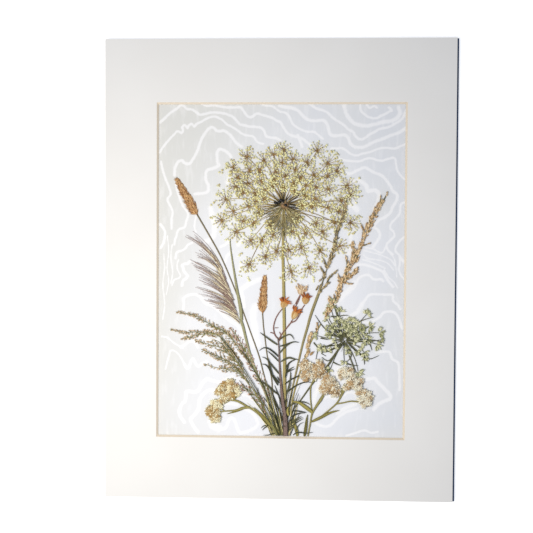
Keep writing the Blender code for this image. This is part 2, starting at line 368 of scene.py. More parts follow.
def sweep(paths, widths, thickness, section, tones):
    """Tubes along many paths at once. A ring stands across each path point: its sideways part is
    the section's first number times half the width, its height the second times half the
    thickness. A point at each end closes the tube."""
    paths = np.asarray(paths, float)
    tubes, rings = paths.shape[:2]
    sides = len(section)
    widths = np.broadcast_to(widths, (tubes, rings))
    thickness = np.broadcast_to(thickness, (tubes, rings))
    run = np.gradient(paths, axis=1)
    side = np.stack([run[..., 1], -run[..., 0], np.zeros(run.shape[:2])], axis=-1)
    side /= np.maximum(np.linalg.norm(side, axis=-1), 1e-9)[..., None]
    up = np.array([0.0, 0.0, 1.0])
    wall = (paths[:, :, None, :]
            + side[:, :, None, :] * (widths[:, :, None] / 2 * section[:, 0])[..., None]
            + up * (thickness[:, :, None] / 2 * section[:, 1])[..., None])
    ends = paths[:, [0, -1], :] + up * (thickness[:, [0, -1]] / 2 * section[:, 1].mean())[..., None]
    points = np.concatenate([wall.reshape(tubes, -1, 3), ends], axis=1)
    ring = np.arange(rings - 1)[:, None] * sides
    here = np.arange(sides)[None, :]
    ahead = (here + 1) % sides
    quads = np.stack([ring + here, ring + here + sides, ring + ahead + sides, ring + ahead], axis=-1)
    quads = quads.reshape(-1, 4)
    last = (rings - 1) * sides
    first_cap = np.stack([here[0], ahead[0], np.full(sides, rings * sides)], axis=1)
    last_cap = np.stack([last + ahead[0], last + here[0], np.full(sides, rings * sides + 1)], axis=1)
    caps = np.concatenate([first_cap, last_cap])
    offset = np.arange(tubes)[:, None, None] * points.shape[1]
    faces = [(quads[None] + offset).reshape(-1, 4), (caps[None] + offset).reshape(-1, 3)]
    along = np.repeat(np.linspace(0, 1, rings), sides)
    across = np.tile(section[:, 0] / np.abs(section[:, 0]).max(), rings)
    along = np.concatenate([along, [0, 1]])
    across = np.concatenate([across, [0, 0]])
    return Batch(points.reshape(-1, 3), faces, np.repeat(np.broadcast_to(tones, tubes), points.shape[1]),
                 np.tile(along, tubes), np.tile(across, tubes))


def shell(radius_at, rows=3, sides=8, dome=0.5):
    """A small closed form on a polar grid: the rim's radius is a function of the angle, and the
    height is the dome times the root of one minus the squared share of that radius, above and
    below. Returned as points, faces and each point's share of the radius."""
    turn = np.arange(sides) * 2 * np.pi / sides
    share = np.linspace(1, 0, rows + 1)[1:-1]
    rim = radius_at(turn)
    rings = [(s, dome * math.sqrt(1 - s * s)) for s in share[::-1]]
    rings += [(1.0, 0.0)]
    rings += [(s, -dome * math.sqrt(1 - s * s)) for s in share]
    points = [[(0.0, 0.0, dome)]]
    for part, height in rings:
        points.append(np.stack([rim * part * np.cos(turn), rim * part * np.sin(turn),
                                np.full(sides, height)], axis=1))
    points.append([(0.0, 0.0, -dome)])
    shares = np.concatenate([[0.0]] + [np.full(sides, part) for part, _ in rings] + [[0.0]])
    here = np.arange(sides)
    ahead = (here + 1) % sides
    top = np.stack([np.zeros(sides, int), 1 + here, 1 + ahead], axis=1)
    quads = [np.stack([1 + level * sides + here, 1 + (level + 1) * sides + here,
                       1 + (level + 1) * sides + ahead, 1 + level * sides + ahead], axis=1)
             for level in range(len(rings) - 1)]
    floor = 1 + (len(rings) - 1) * sides
    bottom = np.stack([floor + here, np.full(sides, floor + sides), floor + ahead], axis=1)
    faces = [np.concatenate(quads), np.concatenate([top, bottom])]
    return np.concatenate(points).astype(float), faces, shares


def stamp(shape, places, sizes, turns, tones, tilts=0.0, along_axis=False):
    """Copies of one small form: scaled, tilted up about its own side axis, turned about the
    upright and moved to its place. Along runs from the middle to the rim, or with along_axis from
    the form's rear end to its front end."""
    points, faces, shares = shape
    places = np.asarray(places, float)
    count = len(places)
    sizes = np.broadcast_to(sizes, (count, 3))
    turns = np.broadcast_to(turns, count)
    tilts = np.broadcast_to(tilts, count)
    body = points[None] * sizes[:, None, :]
    lean = headings(tilts)
    x = body[..., 0] * lean[:, None, 0] - body[..., 2] * lean[:, None, 1]
    z = body[..., 0] * lean[:, None, 1] + body[..., 2] * lean[:, None, 0]
    y = body[..., 1]
    spin = headings(turns)
    turned = np.stack([x * spin[:, None, 0] - y * spin[:, None, 1],
                       x * spin[:, None, 1] + y * spin[:, None, 0], z], axis=-1)
    moved = turned + places[:, None, :]
    offset = np.arange(count)[:, None, None] * len(points)
    copies = [(group[None] + offset).reshape(-1, group.shape[1]) for group in faces]
    if along_axis:
        reach = points[:, 0]
        along = (reach - reach.min()) / (reach.max() - reach.min())
    else:
        along = shares
    across = points[:, 1] / np.abs(points[:, 1]).max()
    return Batch(moved.reshape(-1, 3), copies, np.repeat(np.broadcast_to(tones, count), len(points)),
                 np.tile(along, count), np.tile(across, count))


def oval_reach(turn, waist):
    """The radius at an angle of an oval one unit long and waist units wide."""
    return 0.5 / np.sqrt(np.cos(turn) ** 2 + (np.sin(turn) / waist) ** 2)


SPIKELET = shell(lambda turn: 0.5 * (1 - 0.24 * np.abs(np.sin(2 * turn))), rows=2, sides=8, dome=0.3)
FLORET = shell(lambda turn: 0.36 + 0.14 * np.cos(5 * turn), rows=2, sides=10, dome=0.2)
PETAL = shell(lambda turn: oval_reach(turn, 0.5) * (1 + 0.12 * np.cos(turn)), rows=2, sides=8, dome=0.1)
POD = shell(lambda turn: oval_reach(turn, 0.7), rows=3, sides=9, dome=0.3)


def store(mesh, key, values):
    """Keep one number for each point of a mesh, for its finish to read."""
    layer = mesh.attributes.new(key, "FLOAT", "POINT")
    layer.data.foreach_set("value", values.astype(np.float32))


def declare(name, mesh, material, nodes):
    mesh.validate()
    mesh.materials.append(material)
    piece = bpy.data.objects.new(name, mesh)
    bpy.context.scene.collection.objects.link(piece)
    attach(piece, "root")
    if nodes:
        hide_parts(*nodes)


def make_piece(name, batches, material, nodes=()):
    points = np.concatenate([batch.points for batch in batches]) * MM + MIDDLE
    starts = np.cumsum([0] + [len(batch.points) for batch in batches])[:-1]
    groups = [group + start for batch, start in zip(batches, starts) for group in batch.faces]
    mesh = bpy.data.meshes.new(name)
    mesh.vertices.add(len(points))
    mesh.vertices.foreach_set("co", points.ravel())
    corners = np.concatenate([group.ravel() for group in groups])
    sizes = np.concatenate([np.full(len(group), group.shape[1]) for group in groups])
    mesh.loops.add(len(corners))
    mesh.loops.foreach_set("vertex_index", corners.astype(np.int32))
    mesh.polygons.add(len(sizes))
    mesh.polygons.foreach_set("loop_start", (np.cumsum(sizes) - sizes).astype(np.int32))
    mesh.polygons.foreach_set("use_smooth", np.full(len(sizes), True))
    for key in ("tone", "along", "across"):
        store(mesh, key, np.concatenate([batch.values[key] for batch in batches]))
    mesh.update(calc_edges=True)
    declare(name, mesh, material, nodes)


def raised(points, height):
    """Flat points lifted to a height, which may vary from point to point."""
    points = np.asarray(points, float)
    level = np.broadcast_to(np.asarray(height)[..., None], points.shape[:-1] + (1,))
    return np.concatenate([points, level], axis=-1)


def stem(places, widths, height, tone=0.5, thickness=0.7, section=None):
    """One stem along a given route, with its width read off along the way."""
    count = 10 * len(places)
    path = raised(smooth_route(places, count), height)
    width = np.interp(np.linspace(0, 1, count), np.linspace(0, 1, len(widths)), widths)
    section = oval_section(10, 5, 0.06) if section is None else section
    return sweep(path[None], width[None], thickness * np.minimum(width, 1.4)[None] / 1.6, section, [tone])


def leaf(places, width, height, tone=0.5):
    """A blade whose width rises from its base and falls to a point: the sine of half a turn times
    the length's share to the power 0.62, itself to the power 0.55, with a folded midrib."""
    count, fold = 22, 0.45
    path = raised(smooth_route(places, count), height)
    share = np.linspace(0.03, 1, count)
    profile = np.maximum(width * np.sin(np.pi * share ** 0.62) ** 0.55, 0.12 * width)
    return sweep(path[None], profile[None], np.full((1, count), fold), leaf_section(), [tone])


# ---------------------------------------------------------------- the mount

def mat_finish(settings):
    """White mat face with a faint felt tooth, and a cream core wherever the board is cut."""
    finish = Finish("mat_board_finish", 0.88, specular=0.2)
    normal = finish.node("ShaderNodeNewGeometry", output="True Normal")
    upright = finish.node("ShaderNodeSeparateXYZ", Vector=normal, output="Z").size()
    grain = finish.noise(2600.0, 4.0)
    cloud = finish.noise(14.0, 2.0)
    face = finish.mix(cloud.step(0.3, 0.7) * 0.35, settings.mat_colour, colour(234, 233, 230))
    core = finish.mix(finish.noise(1500.0, 4.0).step(0.3, 0.75) * 0.5, settings.core_colour,
                      colour(214, 203, 184))
    finish.paint(finish.mix(upright.step(0.8, 0.95), core, face))
    finish.bump(grain, settings.tooth, 0.5)
    return finish.material


def board_finish(settings):
    """Navy backing board with a fine paper grain and slightly scuffed tone; the navy strip of it that shows
    past the mat's right edge is a painted shadow of the mat.
    """
    finish = Finish("backing_board_finish", 0.7, specular=0.3)
    scuff = finish.noise(60.0, 4.0)
    # The navy strip past the mat's right edge is a painted shadow of the mat
    finish.paint(finish.mix(scuff.step(0.35, 0.8) * 0.5, settings.board_and_shadow_colour, colour(84, 100, 126)))
    finish.roughness(0.6 + scuff * 0.25)
    finish.bump(finish.noise(2200.0, 3.0), settings.tooth, 0.6)
    return finish.material


# The marbling's white lines: half width, then places along the line
VEINS = [
    (0.8, [(-105, 129), (-101, 132.5), (-97, 136.5), (-93, 139.5), (-89.5, 141.6), (-87, 144.2),
     (-84, 143.5), (-81, 141), (-77, 140.5), (-74, 139), (-70, 136), (-65, 136.8), (-60, 137.8),
     (-55, 137.8), (-48, 136.8), (-43, 135.2), (-40, 133.5), (-37, 130), (-34.5, 127.5), (-31, 126.7),
     (-27, 125.7), (-22, 125.5), (-19, 125), (-16, 124.5), (-13.5, 122), (-12.5, 119), (-11, 117),
     (-7, 116), (-3, 115.5), (1, 113.5)]),
    (0.7, [(-105, 103), (-102, 108), (-99, 111.5), (-96, 115), (-92.5, 118.5), (-89.5, 121.5), (-86, 120),
     (-84.5, 122.5), (-85.5, 125), (-83, 127), (-80.5, 124), (-79.5, 126.5), (-77, 128), (-74.5, 125.5),
     (-72.5, 128), (-69, 129.5), (-65, 132), (-60, 134), (-56, 134.2), (-51, 132), (-48, 129.5),
     (-46, 127.5), (-42, 125.5), (-37, 122.5), (-33, 119.5), (-29, 118), (-24, 117.2), (-21.5, 115.5),
     (-20.5, 113.5), (-18, 111.5), (-14, 110.5)]),
    (0.9, [(-92, 83), (-91.5, 89), (-90, 93), (-88.5, 95), (-85.5, 96), (-83.5, 94), (-81, 93), (-78, 93.5),
     (-76.5, 96), (-74, 100), (-72, 104), (-70, 110), (-68.5, 114), (-67, 117), (-64, 121.5), (-61.5, 124),
     (-59, 125), (-57, 124), (-55, 122), (-52.5, 121.5), (-49, 122), (-45, 119.8), (-42, 117), (-39, 113),
     (-36, 110), (-33, 108)]),
    (0.95, [(-42, 99), (-44, 101.6), (-47, 104), (-50, 105.5), (-53, 105.5), (-54.5, 103), (-54.5, 99),
     (-54, 94), (-53, 91.5), (-57, 89.5), (-62, 88), (-64, 86), (-64.5, 81), (-63.5, 77), (-62, 74),
     (-62.5, 69), (-66, 67.5), (-70, 67), (-74, 66.6)]),
    (0.8, [(-68, 145.5), (-63, 143.8), (-57, 144.2), (-51, 143), (-45, 142.2), (-39, 142.2), (-34, 142.2),
     (-32, 140), (-30, 137), (-27, 134), (-24, 134), (-22, 135.5), (-20, 137), (-16, 136), (-11, 134.5),
     (-6, 133), (-2, 130.5), (1, 129), (3.5, 125), (6, 121), (10, 118), (15, 116.5), (20, 115), (24, 112),
     (28, 109)]),
    (0.7, [(-16, 145), (-12, 143.8), (-7, 143.4), (-3, 141), (0, 138.8), (5, 137.5), (8, 135), (10, 131),
     (12, 127.5), (16, 124.5), (20, 122.5), (25, 121), (30, 121), (33, 119), (36, 116.5), (38, 115)]),
    (1.0, [(0, 143.6), (5, 142.4), (11, 141.6), (16, 139.5), (19, 136.5), (24, 132), (30, 130.5), (38, 131),
     (41, 128.5), (42.5, 124), (44, 119.4), (47, 117.5), (52, 118), (57, 118.3), (60, 115.3), (62, 111),
     (65, 108.3), (69, 107.4), (74, 108), (78, 110), (83, 112.5), (90, 115), (97, 118), (103, 120),
     (107, 122.5), (111, 125.5)]),
    (0.8, [(26, 145.4), (30, 142.5), (33, 141), (38, 139.5), (42, 137.5), (45, 134.5), (48, 132),
     (52, 129.5), (56, 127), (60, 123), (64, 121), (66, 117.5), (69, 115), (72, 114.5), (75, 116),
     (78, 118.5), (82, 120.5), (86, 123), (90, 124), (96, 125.5), (100, 128), (105, 131), (108, 135),
     (110, 140)]),
    (1.15, [(55.5, 145.5), (57, 140), (59, 135), (62, 131), (65, 128.5), (70, 126.8), (76, 126), (80, 127),
     (85, 128), (90, 129.5), (95, 130), (99, 131), (103, 134), (104.5, 138), (103, 142)]),
    (0.75, [(70, 145.5), (70.5, 140), (73, 137), (76, 134.5), (80, 133), (85, 133), (88, 135), (92, 136.5),
     (95, 138.5), (97.5, 139.4), (95, 142)]),
    (0.7, [(76, 144.5), (78.5, 141.8), (82, 143.4), (84.5, 142)]),
    (0.7, [(45, 106.5), (50, 106.5), (54, 107), (58, 105), (62, 102), (67, 100.5), (72, 102), (79, 103.5),
     (85, 106), (90, 107), (96, 107), (100, 106.5), (105, 108.5), (110, 110.5)]),
    (0.7, [(50, 98.5), (56, 96.5), (60, 96), (65, 95.5), (70, 95.5), (74, 97), (77, 98), (81, 98),
     (85, 96.5), (90, 96), (94, 97.5), (99, 98.5), (101, 97), (101.5, 93), (102.5, 88), (105, 84),
     (108, 80.8), (111, 80)]),
    (0.9, [(52, 87), (58, 85.5), (62, 84.5), (66, 86.5), (70, 88.5), (74, 90), (78, 88.5), (82, 86),
     (86, 84.5), (90, 82.5), (94, 78), (97, 74), (98.5, 70), (102, 67.5), (103, 65), (102, 61), (99, 56),
     (97, 51), (92.5, 47), (87.5, 44.5), (84, 41), (83, 38.5), (86, 36), (88, 32.5), (87.5, 29), (85, 25),
     (82.5, 21)]),
    (1.3, [(68, 79), (72, 77.5), (76, 74), (77, 69.8), (80, 70), (84, 70), (87, 66.5), (86.4, 61),
     (83, 54)]),
    (1.1, [(56, 78), (60, 76), (63, 79), (68, 78)]),
    (0.7, [(109.5, 60.5), (106, 58), (105.6, 54), (105, 50), (101, 45), (98, 42), (97, 37.5), (100, 34),
     (100.6, 30.5), (98, 27.5), (94.5, 24), (94, 21), (96, 17.5), (99.5, 14.5)]),
    (0.7, [(111, 31), (109, 29.5), (105, 26), (102, 21), (102, 17), (105, 14), (107.5, 10), (111, 6.5)]),
    (0.6, [(105, 13), (105.6, 7.5), (105, 1), (107, -4), (110, -7.5)]),
    (0.45, [(74, 18), (80, 16.5), (86, 15), (92.5, 12.5), (97.5, 10), (101, 5)]),
    (0.45, [(74, 14), (77.5, 11), (84, 10), (90, 9), (96, 6), (100, 1)]),
    (0.8, [(66, 3), (70.5, 5.5), (77, 5), (84, 2.5), (90, 0), (93, -4), (96, -9), (100, -14)]),
    (0.45, [(92, 1), (96, -5), (101, -10), (104, -15)]),
    (0.45, [(73, 10), (80, 8), (87.5, 5), (93, 2.5)]),
    (0.5, [(76, 20.4), (82.5, 19), (90, 16), (93, 20.6)]),
    (0.4, [(97.5, 15), (101, 10), (102.4, 2), (103, -5)]),
    (0.8, [(57, -21), (62.5, -16), (67.5, -11), (70.6, -6), (75, -3.8), (79, -3.8), (82.5, -7), (86, -7.5),
     (89.4, -7), (91.5, -9)]),
    (1.7, [(50, -29), (56, -22), (62, -16.5), (67, -10.5)]),
    (0.8, [(57.5, -41), (60, -42.5), (64, -39), (69, -36), (71, -32.5), (73, -29), (76, -25), (79.5, -21),
     (86, -20.3), (92.5, -20.6), (98.8, -20.6), (100, -22.5), (100, -25.6), (104, -29.4), (106.4, -33)]),
    (1.2, [(64, -39), (69, -36), (71, -32.5), (74, -27.5)]),
    (0.8, [(74, -45), (80, -45), (85, -42.5), (89, -40), (92.5, -36), (100, -35.6), (104, -39), (106, -44),
     (108, -50)]),
    (1.0, [(62.5, 34), (63, 27.5), (62.5, 20), (62, 15), (57, 17.6), (53, 19)]),
    (1.8, [(61, 58.5), (65, 56.5), (68, 53)]),
    (0.8, [(86, -71), (92, -70.6), (97, -70.6), (98.5, -74), (100, -77), (105, -80.6), (106, -90),
     (106.4, -104)]),
    (1.1, [(74, -98), (76, -95), (80, -94.6), (85, -94), (87, -97), (91, -101), (95, -105), (98.5, -109),
     (98, -112), (93, -114), (88, -117), (84, -121.6)]),
    (0.9, [(33, -134), (37, -136), (43, -137), (47.5, -135), (50, -132), (54, -128), (60, -124), (66, -122),
     (70, -121)]),
    (1.2, [(52, -125), (57, -122), (61, -119.5), (68, -117)]),
    (0.7, [(60, -145), (68, -142.5), (76, -140), (82, -142), (88, -141)]),
    (0.8, [(54, -112), (58, -109), (63, -106.5), (68, -108), (70, -111)]),
    (1.4, [(50, -85.5), (56, -86), (52, -90), (51, -94), (55, -96), (58, -97.5)]),
    (0.7, [(-104, 95), (-102, 86), (-100, 80), (-97.6, 74.5), (-95.8, 69.5), (-95.5, 66), (-98, 62.5),
     (-97.6, 59.5), (-95, 55), (-93.6, 51), (-93.9, 47.5), (-94.5, 44), (-94.5, 36)]),
    (0.7, [(-91, 77), (-89.8, 70), (-87.7, 64), (-85, 57), (-81, 51.6), (-80, 47.5), (-81.5, 42.5),
     (-83, 37.5), (-88, 35.5), (-89.5, 32.5), (-90, 30), (-91.5, 26), (-92, 22)]),
    (0.6, [(-72.6, 48), (-74, 42), (-74.2, 37.5), (-73, 33)]),
    (0.8, [(-104.4, 40), (-100.8, 35), (-100.3, 30), (-101.5, 24), (-104, 19)]),
    (0.7, [(-76, 24), (-80, 22), (-82, 19), (-85, 17), (-88, 16), (-90, 15), (-91, 10)]),
    (0.9, [(-78.3, 7.5), (-80, 5.6), (-83.3, 5), (-85, 3.7), (-84, 1.3), (-83.3, -1.3), (-81.4, -3.8),
     (-80, -5.6), (-82, -8), (-84.5, -10), (-85, -14)]),
    (0.45, [(-88, 9), (-89.5, 5), (-89, 0), (-86.5, -5), (-88, -7.5), (-92, -9), (-94, -14)]),
    (0.4, [(-98, 30), (-97, 16), (-98.4, 2), (-97, -10), (-99, -22)]),
    (0.4, [(-94, 22), (-95, 10), (-93.4, -2), (-95, -12)]),
    (0.4, [(-101.4, 14), (-100.6, 2), (-102, -14), (-100.4, -30), (-102, -44)]),
    (1.6, [(-60, 54), (-58.4, 46), (-57, 40), (-57, 32), (-60, 27), (-64, 25)]),
    (0.9, [(-43, 27), (-46, 23), (-51, 20.5)]), (0.9, [(-41, 16), (-45, 13), (-47.4, 7)]),
    (0.8, [(-84, -35), (-83.5, -30), (-83.3, -25), (-79.5, -22.5), (-74.5, -21.5), (-71, -22.5),
     (-67, -25)]),
    (1.0, [(-68, -25), (-64.5, -29), (-58, -31.6), (-52, -36), (-47, -41), (-42, -45), (-37, -48),
     (-33, -53), (-32, -58)]),
    (0.5, [(-103, -59), (-98, -60), (-93, -64), (-88, -67), (-84, -69)]),
    (0.8, [(-86, -68.5), (-82, -66), (-79, -63.6), (-76, -63), (-73, -65), (-71, -68.4)]),
    (0.5, [(-99.5, -88), (-97.6, -80), (-96.4, -76), (-95, -71.5), (-91, -72), (-87, -76), (-84, -81),
     (-82.4, -84)]),
    (0.85, [(-83, -83), (-81.4, -86.4), (-79, -86.5), (-76.5, -80), (-74.8, -78.8), (-72, -84),
     (-69.5, -85), (-67, -82.5), (-63, -81)]),
    (1.0, [(-40, -94.5), (-46, -97), (-51, -98.8), (-57, -98), (-62.6, -96.3), (-66, -99.4), (-69.5, -105),
     (-73, -108.2), (-77, -107.5), (-80.8, -107.5), (-81.5, -112), (-82, -116), (-85, -118.8),
     (-87, -123.5), (-87, -128), (-85, -131.5), (-82.6, -135)]),
    (1.1, [(-53, -106.8), (-60.7, -106.3), (-64.5, -108.8), (-68, -112.5), (-69.5, -116), (-70, -122.5),
     (-73, -127.5), (-76.4, -131), (-77, -133.5), (-75, -137.5), (-72.6, -141), (-70.7, -143.5)]),
    (1.0, [(-60, -134), (-57, -138.6), (-50.8, -140.6), (-45.8, -138.8), (-43.3, -132.5), (-40.8, -130.6),
     (-38.3, -132.5), (-36.4, -137.5), (-34.5, -142), (-32, -143.5), (-27, -142.5), (-20.8, -139.4),
     (-17.6, -136.3), (-18.3, -132.5), (-20.8, -127.5), (-25.8, -123.8), (-29.5, -122.5)]),
    (2.0, [(-59, -134), (-57, -138), (-52, -140)]),
    (1.5, [(-33, -17), (-27, -12.8), (-21, -10), (-17, -7.8)]),
    (1.3, [(-33, -18), (-31.5, -25), (-30.5, -32)]),
    (2.2, [(-20.5, -32), (-22, -37), (-22, -44), (-20.5, -52), (-19.8, -59), (-18, -65)]),
    (0.9, [(-29.5, -42), (-27, -52), (-24.5, -61), (-22, -68)]),
    (0.7, [(-33, -110), (-27, -111), (-19.5, -116), (-14.5, -120), (-11, -126)]),
    (0.9, [(-70, -59), (-64, -60), (-60, -62.5), (-54, -62)]),
    (1.2, [(-36, 22), (-33, 25)]), (1.0, [(-33, 6), (-33.6, 0)]), (1.3, [(-43, 81), (-45.5, 77)]),
    (1.0, [(-48, -118), (-42, -117.6), (-36, -119)]),
    (1.2, [(34, -93), (36, -100), (33, -108), (31.4, -116)]),
    (0.9, [(40, -112), (45, -110.6), (50, -112.4)]), (0.9, [(16, 118), (20, 108)]),
    (1.0, [(-66, -59), (-62, -59.5)]),
]


# Painted light round the plants, lifting the paper toward white against their shadows: centre, reach and
# strength
PAINTED_LIGHT_PATCHES = [
    (5, 52, 42, 1.0), (-42, -8, 26, 0.9), (-30, -80, 30, 1.0), (10, -95, 34, 1.0), (50, -60, 26, 0.9),
    (40, -10, 26, 0.9), (0, -125, 34, 0.9), (-55, 40, 18, 0.6), (-70, -48, 16, 0.7), (66, -105, 18, 0.7),
    (-70, -125, 30, 0.5), (-30, -140, 30, 0.6), (66, 24, 18, 0.6),
]


def painted_light_share(x, y):
    """How much painted light lies on the paper: one less the product of one less each bell-shaped patch."""
    rest = np.ones(len(x))
    for centre_x, centre_y, reach, strength in PAINTED_LIGHT_PATCHES:
        rest *= 1 - strength * np.exp(-((x - centre_x) ** 2 + (y - centre_y) ** 2) / (2 * reach ** 2))
    return 1 - rest


def vein_share(x, y):
    """Distance to the nearest white line, as a share of that line's half width, and at most 4.
    The distance to a run of short straight steps is the least of the distances to its steps."""
    nearest = np.full(len(x), 4.0)
    for half_width, places in VEINS:
        route = smooth_route(places, 6 * len(places))
        reach = 4 * half_width
        near = np.flatnonzero((x > route[:, 0].min() - reach) & (x < route[:, 0].max() + reach)
                              & (y > route[:, 1].min() - reach) & (y < route[:, 1].max() + reach))
        spot = np.stack([x[near], y[near]], axis=1)[:, None]
        start, run = route[None, :-1], np.diff(route, axis=0)[None]
        share = np.clip(((spot - start) * run).sum(-1) / (run ** 2).sum(-1), 0, 1)
        away = np.linalg.norm(spot - start - run * share[..., None], axis=-1).min(axis=1)
        nearest[near] = np.minimum(nearest[near], away / half_width)
    return nearest


def paper_finish(settings):
    """Marbled paper: soft-edged white lines on a pale ground with a faint cloudy cast, a painted warm cast
    of the light on its left side and painted light round the plants.
    """
    finish = Finish("marbled_paper_finish", 0.82, specular=0.25)
    share = finish.attribute("marbling")
    ragged = (finish.noise(420.0, 2.0) - 0.5) * 1.1 + (finish.noise(1400.0, 1.0) - 0.5) * 0.5
    line = (share * 0.8 + ragged).step(1.7, 0.5) * 0.72
    cloud = finish.noise(26.0, 3.0)
    ground = finish.mix(cloud.step(0.3, 0.7), settings.paper_colour, colour(228, 231, 234))
    # Painted warm cast of the light from the left: the paper's left side turns warmer and a little darker
    across = finish.node("ShaderNodeSeparateXYZ", Vector=finish.place(), output="X")
    ground = finish.mix(across.step(0.05, -0.09) * 0.9, ground, colour(222, 223, 219))
    streak = finish.noise(240.0, 3.0, (1.0, 0.22, 1.0)).step(0.5, 0.75) * 0.28
    ground = finish.mix(streak, ground, settings.vein_colour)
    # Painted light that lifts the paper toward white round the plants, against their shadows
    ground = finish.mix(finish.attribute("painted_light") * 0.85, ground, colour(240, 243, 250))
    finish.paint(finish.mix(line, ground, settings.vein_colour))
    finish.bump(finish.noise(3000.0, 3.0), settings.tooth, 0.4)
    return finish.material


def marbled_sheet(settings):
    """The paper as a flat closed slab: a fine grid over the mat's window that carries each point's
    vein share, one wide strip beyond it on each side, walls, and one face below."""
    low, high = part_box("marbled_sheet")
    x_lines, y_lines = (
        np.concatenate([[(low[axis] - MIDDLE[axis]) / MM], inner, [(high[axis] - MIDDLE[axis]) / MM]])
        for axis, inner in enumerate((np.arange(-109, 112.5, 1.0), np.arange(-149.5, 149.5, 1.0))))
    columns, rows = len(x_lines), len(y_lines)
    x, y = (part.ravel() for part in np.meshgrid(x_lines, y_lines))
    count = columns * rows
    cell = (np.arange(rows - 1)[:, None] * columns + np.arange(columns - 1)[None, :]).ravel()
    top = np.stack([cell, cell + 1, cell + columns + 1, cell + columns], axis=1)
    rim = np.concatenate([np.arange(columns), np.arange(2, rows + 1) * columns - 1,
                          np.arange(count - 2, count - columns - 1, -1),
                          np.arange(rows - 2, 0, -1) * columns])
    below = count + np.arange(len(rim))
    walls = np.stack([rim, below, np.roll(below, -1), np.roll(rim, -1)], axis=1)
    upper = np.stack([x, y, np.full(count, high.z / MM)], axis=1)
    lower = upper[rim].copy()
    lower[:, 2] = low.z / MM
    points = np.concatenate([upper, lower]) * MM + MIDDLE
    mesh = bpy.data.meshes.new("marbled_paper")
    mesh.from_pydata(points.tolist(), [], top.tolist() + walls.tolist() + [below[::-1].tolist()])
    store(mesh, "marbling", np.concatenate([vein_share(x, y), np.full(len(rim), 4.0)]))
    # Each point's share of the painted light round the plants
    store(mesh, "painted_light", np.concatenate([painted_light_share(x, y), np.zeros(len(rim))]))
    declare("marbled_paper", mesh, paper_finish(settings), ["marbled_sheet"])


class PRESSED_OT_mount(bpy.types.Operator):
    """Finish the mat and backing board, and lay the marbled paper."""
    bl_idname = "pressed.mount"
    bl_label = "Mat, Paper and Board"

    def execute(self, context):
        settings = context.scene.pressed_mount
        for node, finish in (("window_mat", mat_finish), ("backing_board", board_finish)):
            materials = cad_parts[node].data.materials
            materials.clear()
            materials.append(finish(settings))
        marbled_sheet(settings)
        return {"FINISHED"}


# ---------------------------------------------------------------- wild carrot

CARROT_HUB = (4, 57)
# Where the rays end, each with an umbellet
CARROT_UMBELLETS = [
    (4, 105), (-5, 101), (2.5, 94), (33, 104.5), (24, 94), (42, 93.5), (14, 88), (30, 83), (42, 82),
    (5, 82), (-3, 86), (19, 81), (-4, 79), (12.5, 76), (23.5, 74), (32, 72.5), (43, 71), (59, 74),
    (22, 65.5), (31.5, 62.5), (54, 61), (28.5, 56), (42, 55), (48.5, 42), (32.5, 41.5), (62.5, 42),
    (12, 34.5), (23, 33), (38, 34), (19.5, 20), (36, 17.5), (26.5, 2.5), (11, -1), (-40, 89.5), (-28.5, 99),
    (-26, 87), (-17, 87), (-13.5, 96), (-38, 72.5), (-31.5, 68), (-27, 76), (-15.5, 78), (-46.5, 62),
    (-21, 67), (-40, 51.5), (-26.5, 56), (-13, 62.5), (-17.5, 51), (-50, 43.5), (-31, 43), (-37, 33.5),
    (-24.5, 26), (-15, 26), (-5, 31), (-22, 41.5), (-26, 5), (-11.5, 12), (-2, 17), (9, 18), (53, 22),
    (-12, 70), (52, 52), (50, 87), (-8, 40), (16, 46), (-36, 81), (12, 97), (62, 66), (4, 72), (-6, 74),
    (13, 69), (-20, 60), (20, 57),
]
# Where loose florets lie beyond them
CARROT_STRAYS = [
    (51, 101), (53, 93), (50, 100), (70, 80), (69, 70), (65, 66), (71, 47.5), (66, 33), (61, 32), (-50, 86),
    (-54, 69), (-57, 58), (-59, 46), (-51, 32), (-44, 26), (-26, -7), (-33, -3), (30, -8), (-48, 93),
    (-25, 107), (57, 88), (-34, 13), (-20, 0), (-9, 3), (3, -8), (20, -6), (39, 9), (-55, 74), (46, 104),
    (-43, 83),
]


def umbel_rays(random, hub, centres, height, thick, thin):
    """Rays that curve from the hub to each centre, thinning as they go."""
    centres = np.asarray(centres, float)
    direction = centres - np.asarray(hub, float)
    length = np.linalg.norm(direction, axis=1)[:, None]
    starts = raised(np.asarray(hub, float) + 2.4 * direction / length, height)
    ends = raised(centres, height + random.uniform(0.0, 0.25, len(centres)))
    stops = 9
    paths = arcs(starts, ends, random.uniform(-0.07, 0.07, len(centres)) * length[:, 0], stops)
    widths = np.linspace(thick, thin, stops)[None]
    return sweep(paths, widths, widths * 0.6, oval_section(6), random.uniform(0, 1, len(centres)))


def umbellet_heads(random, hub, centres, count, reach, height):
    """Where the florets of every umbellet sit: a sunflower spiral round each centre with an open
    middle, pushed outwards from the hub and shaken a little; a far umbellet spreads wider."""
    centres = np.asarray(centres, float)
    number = np.arange(count) + 0.5
    start = random.uniform(0, 2 * np.pi, len(centres))
    angle = number[None] * GOLDEN_ANGLE + start[:, None] + random.normal(0, 0.16, (len(centres), count))
    outward = centres - np.asarray(hub, float)
    away = np.linalg.norm(outward, axis=1)
    reach = np.interp(away, [15, 45], reach)[:, None] * random.uniform(0.9, 1.12, (len(centres), 1))
    share = 0.16 + 0.84 * np.sqrt(number / count)
    radius = reach * share[None] * random.uniform(0.84, 1.12, (len(centres), count))
    spots = centres[:, None] + radius[..., None] * headings(angle)
    spots += (outward / away[:, None])[:, None] * reach[..., None] * 0.1
    return raised(spots, height + random.uniform(0.3, 0.9, (len(centres), count)))


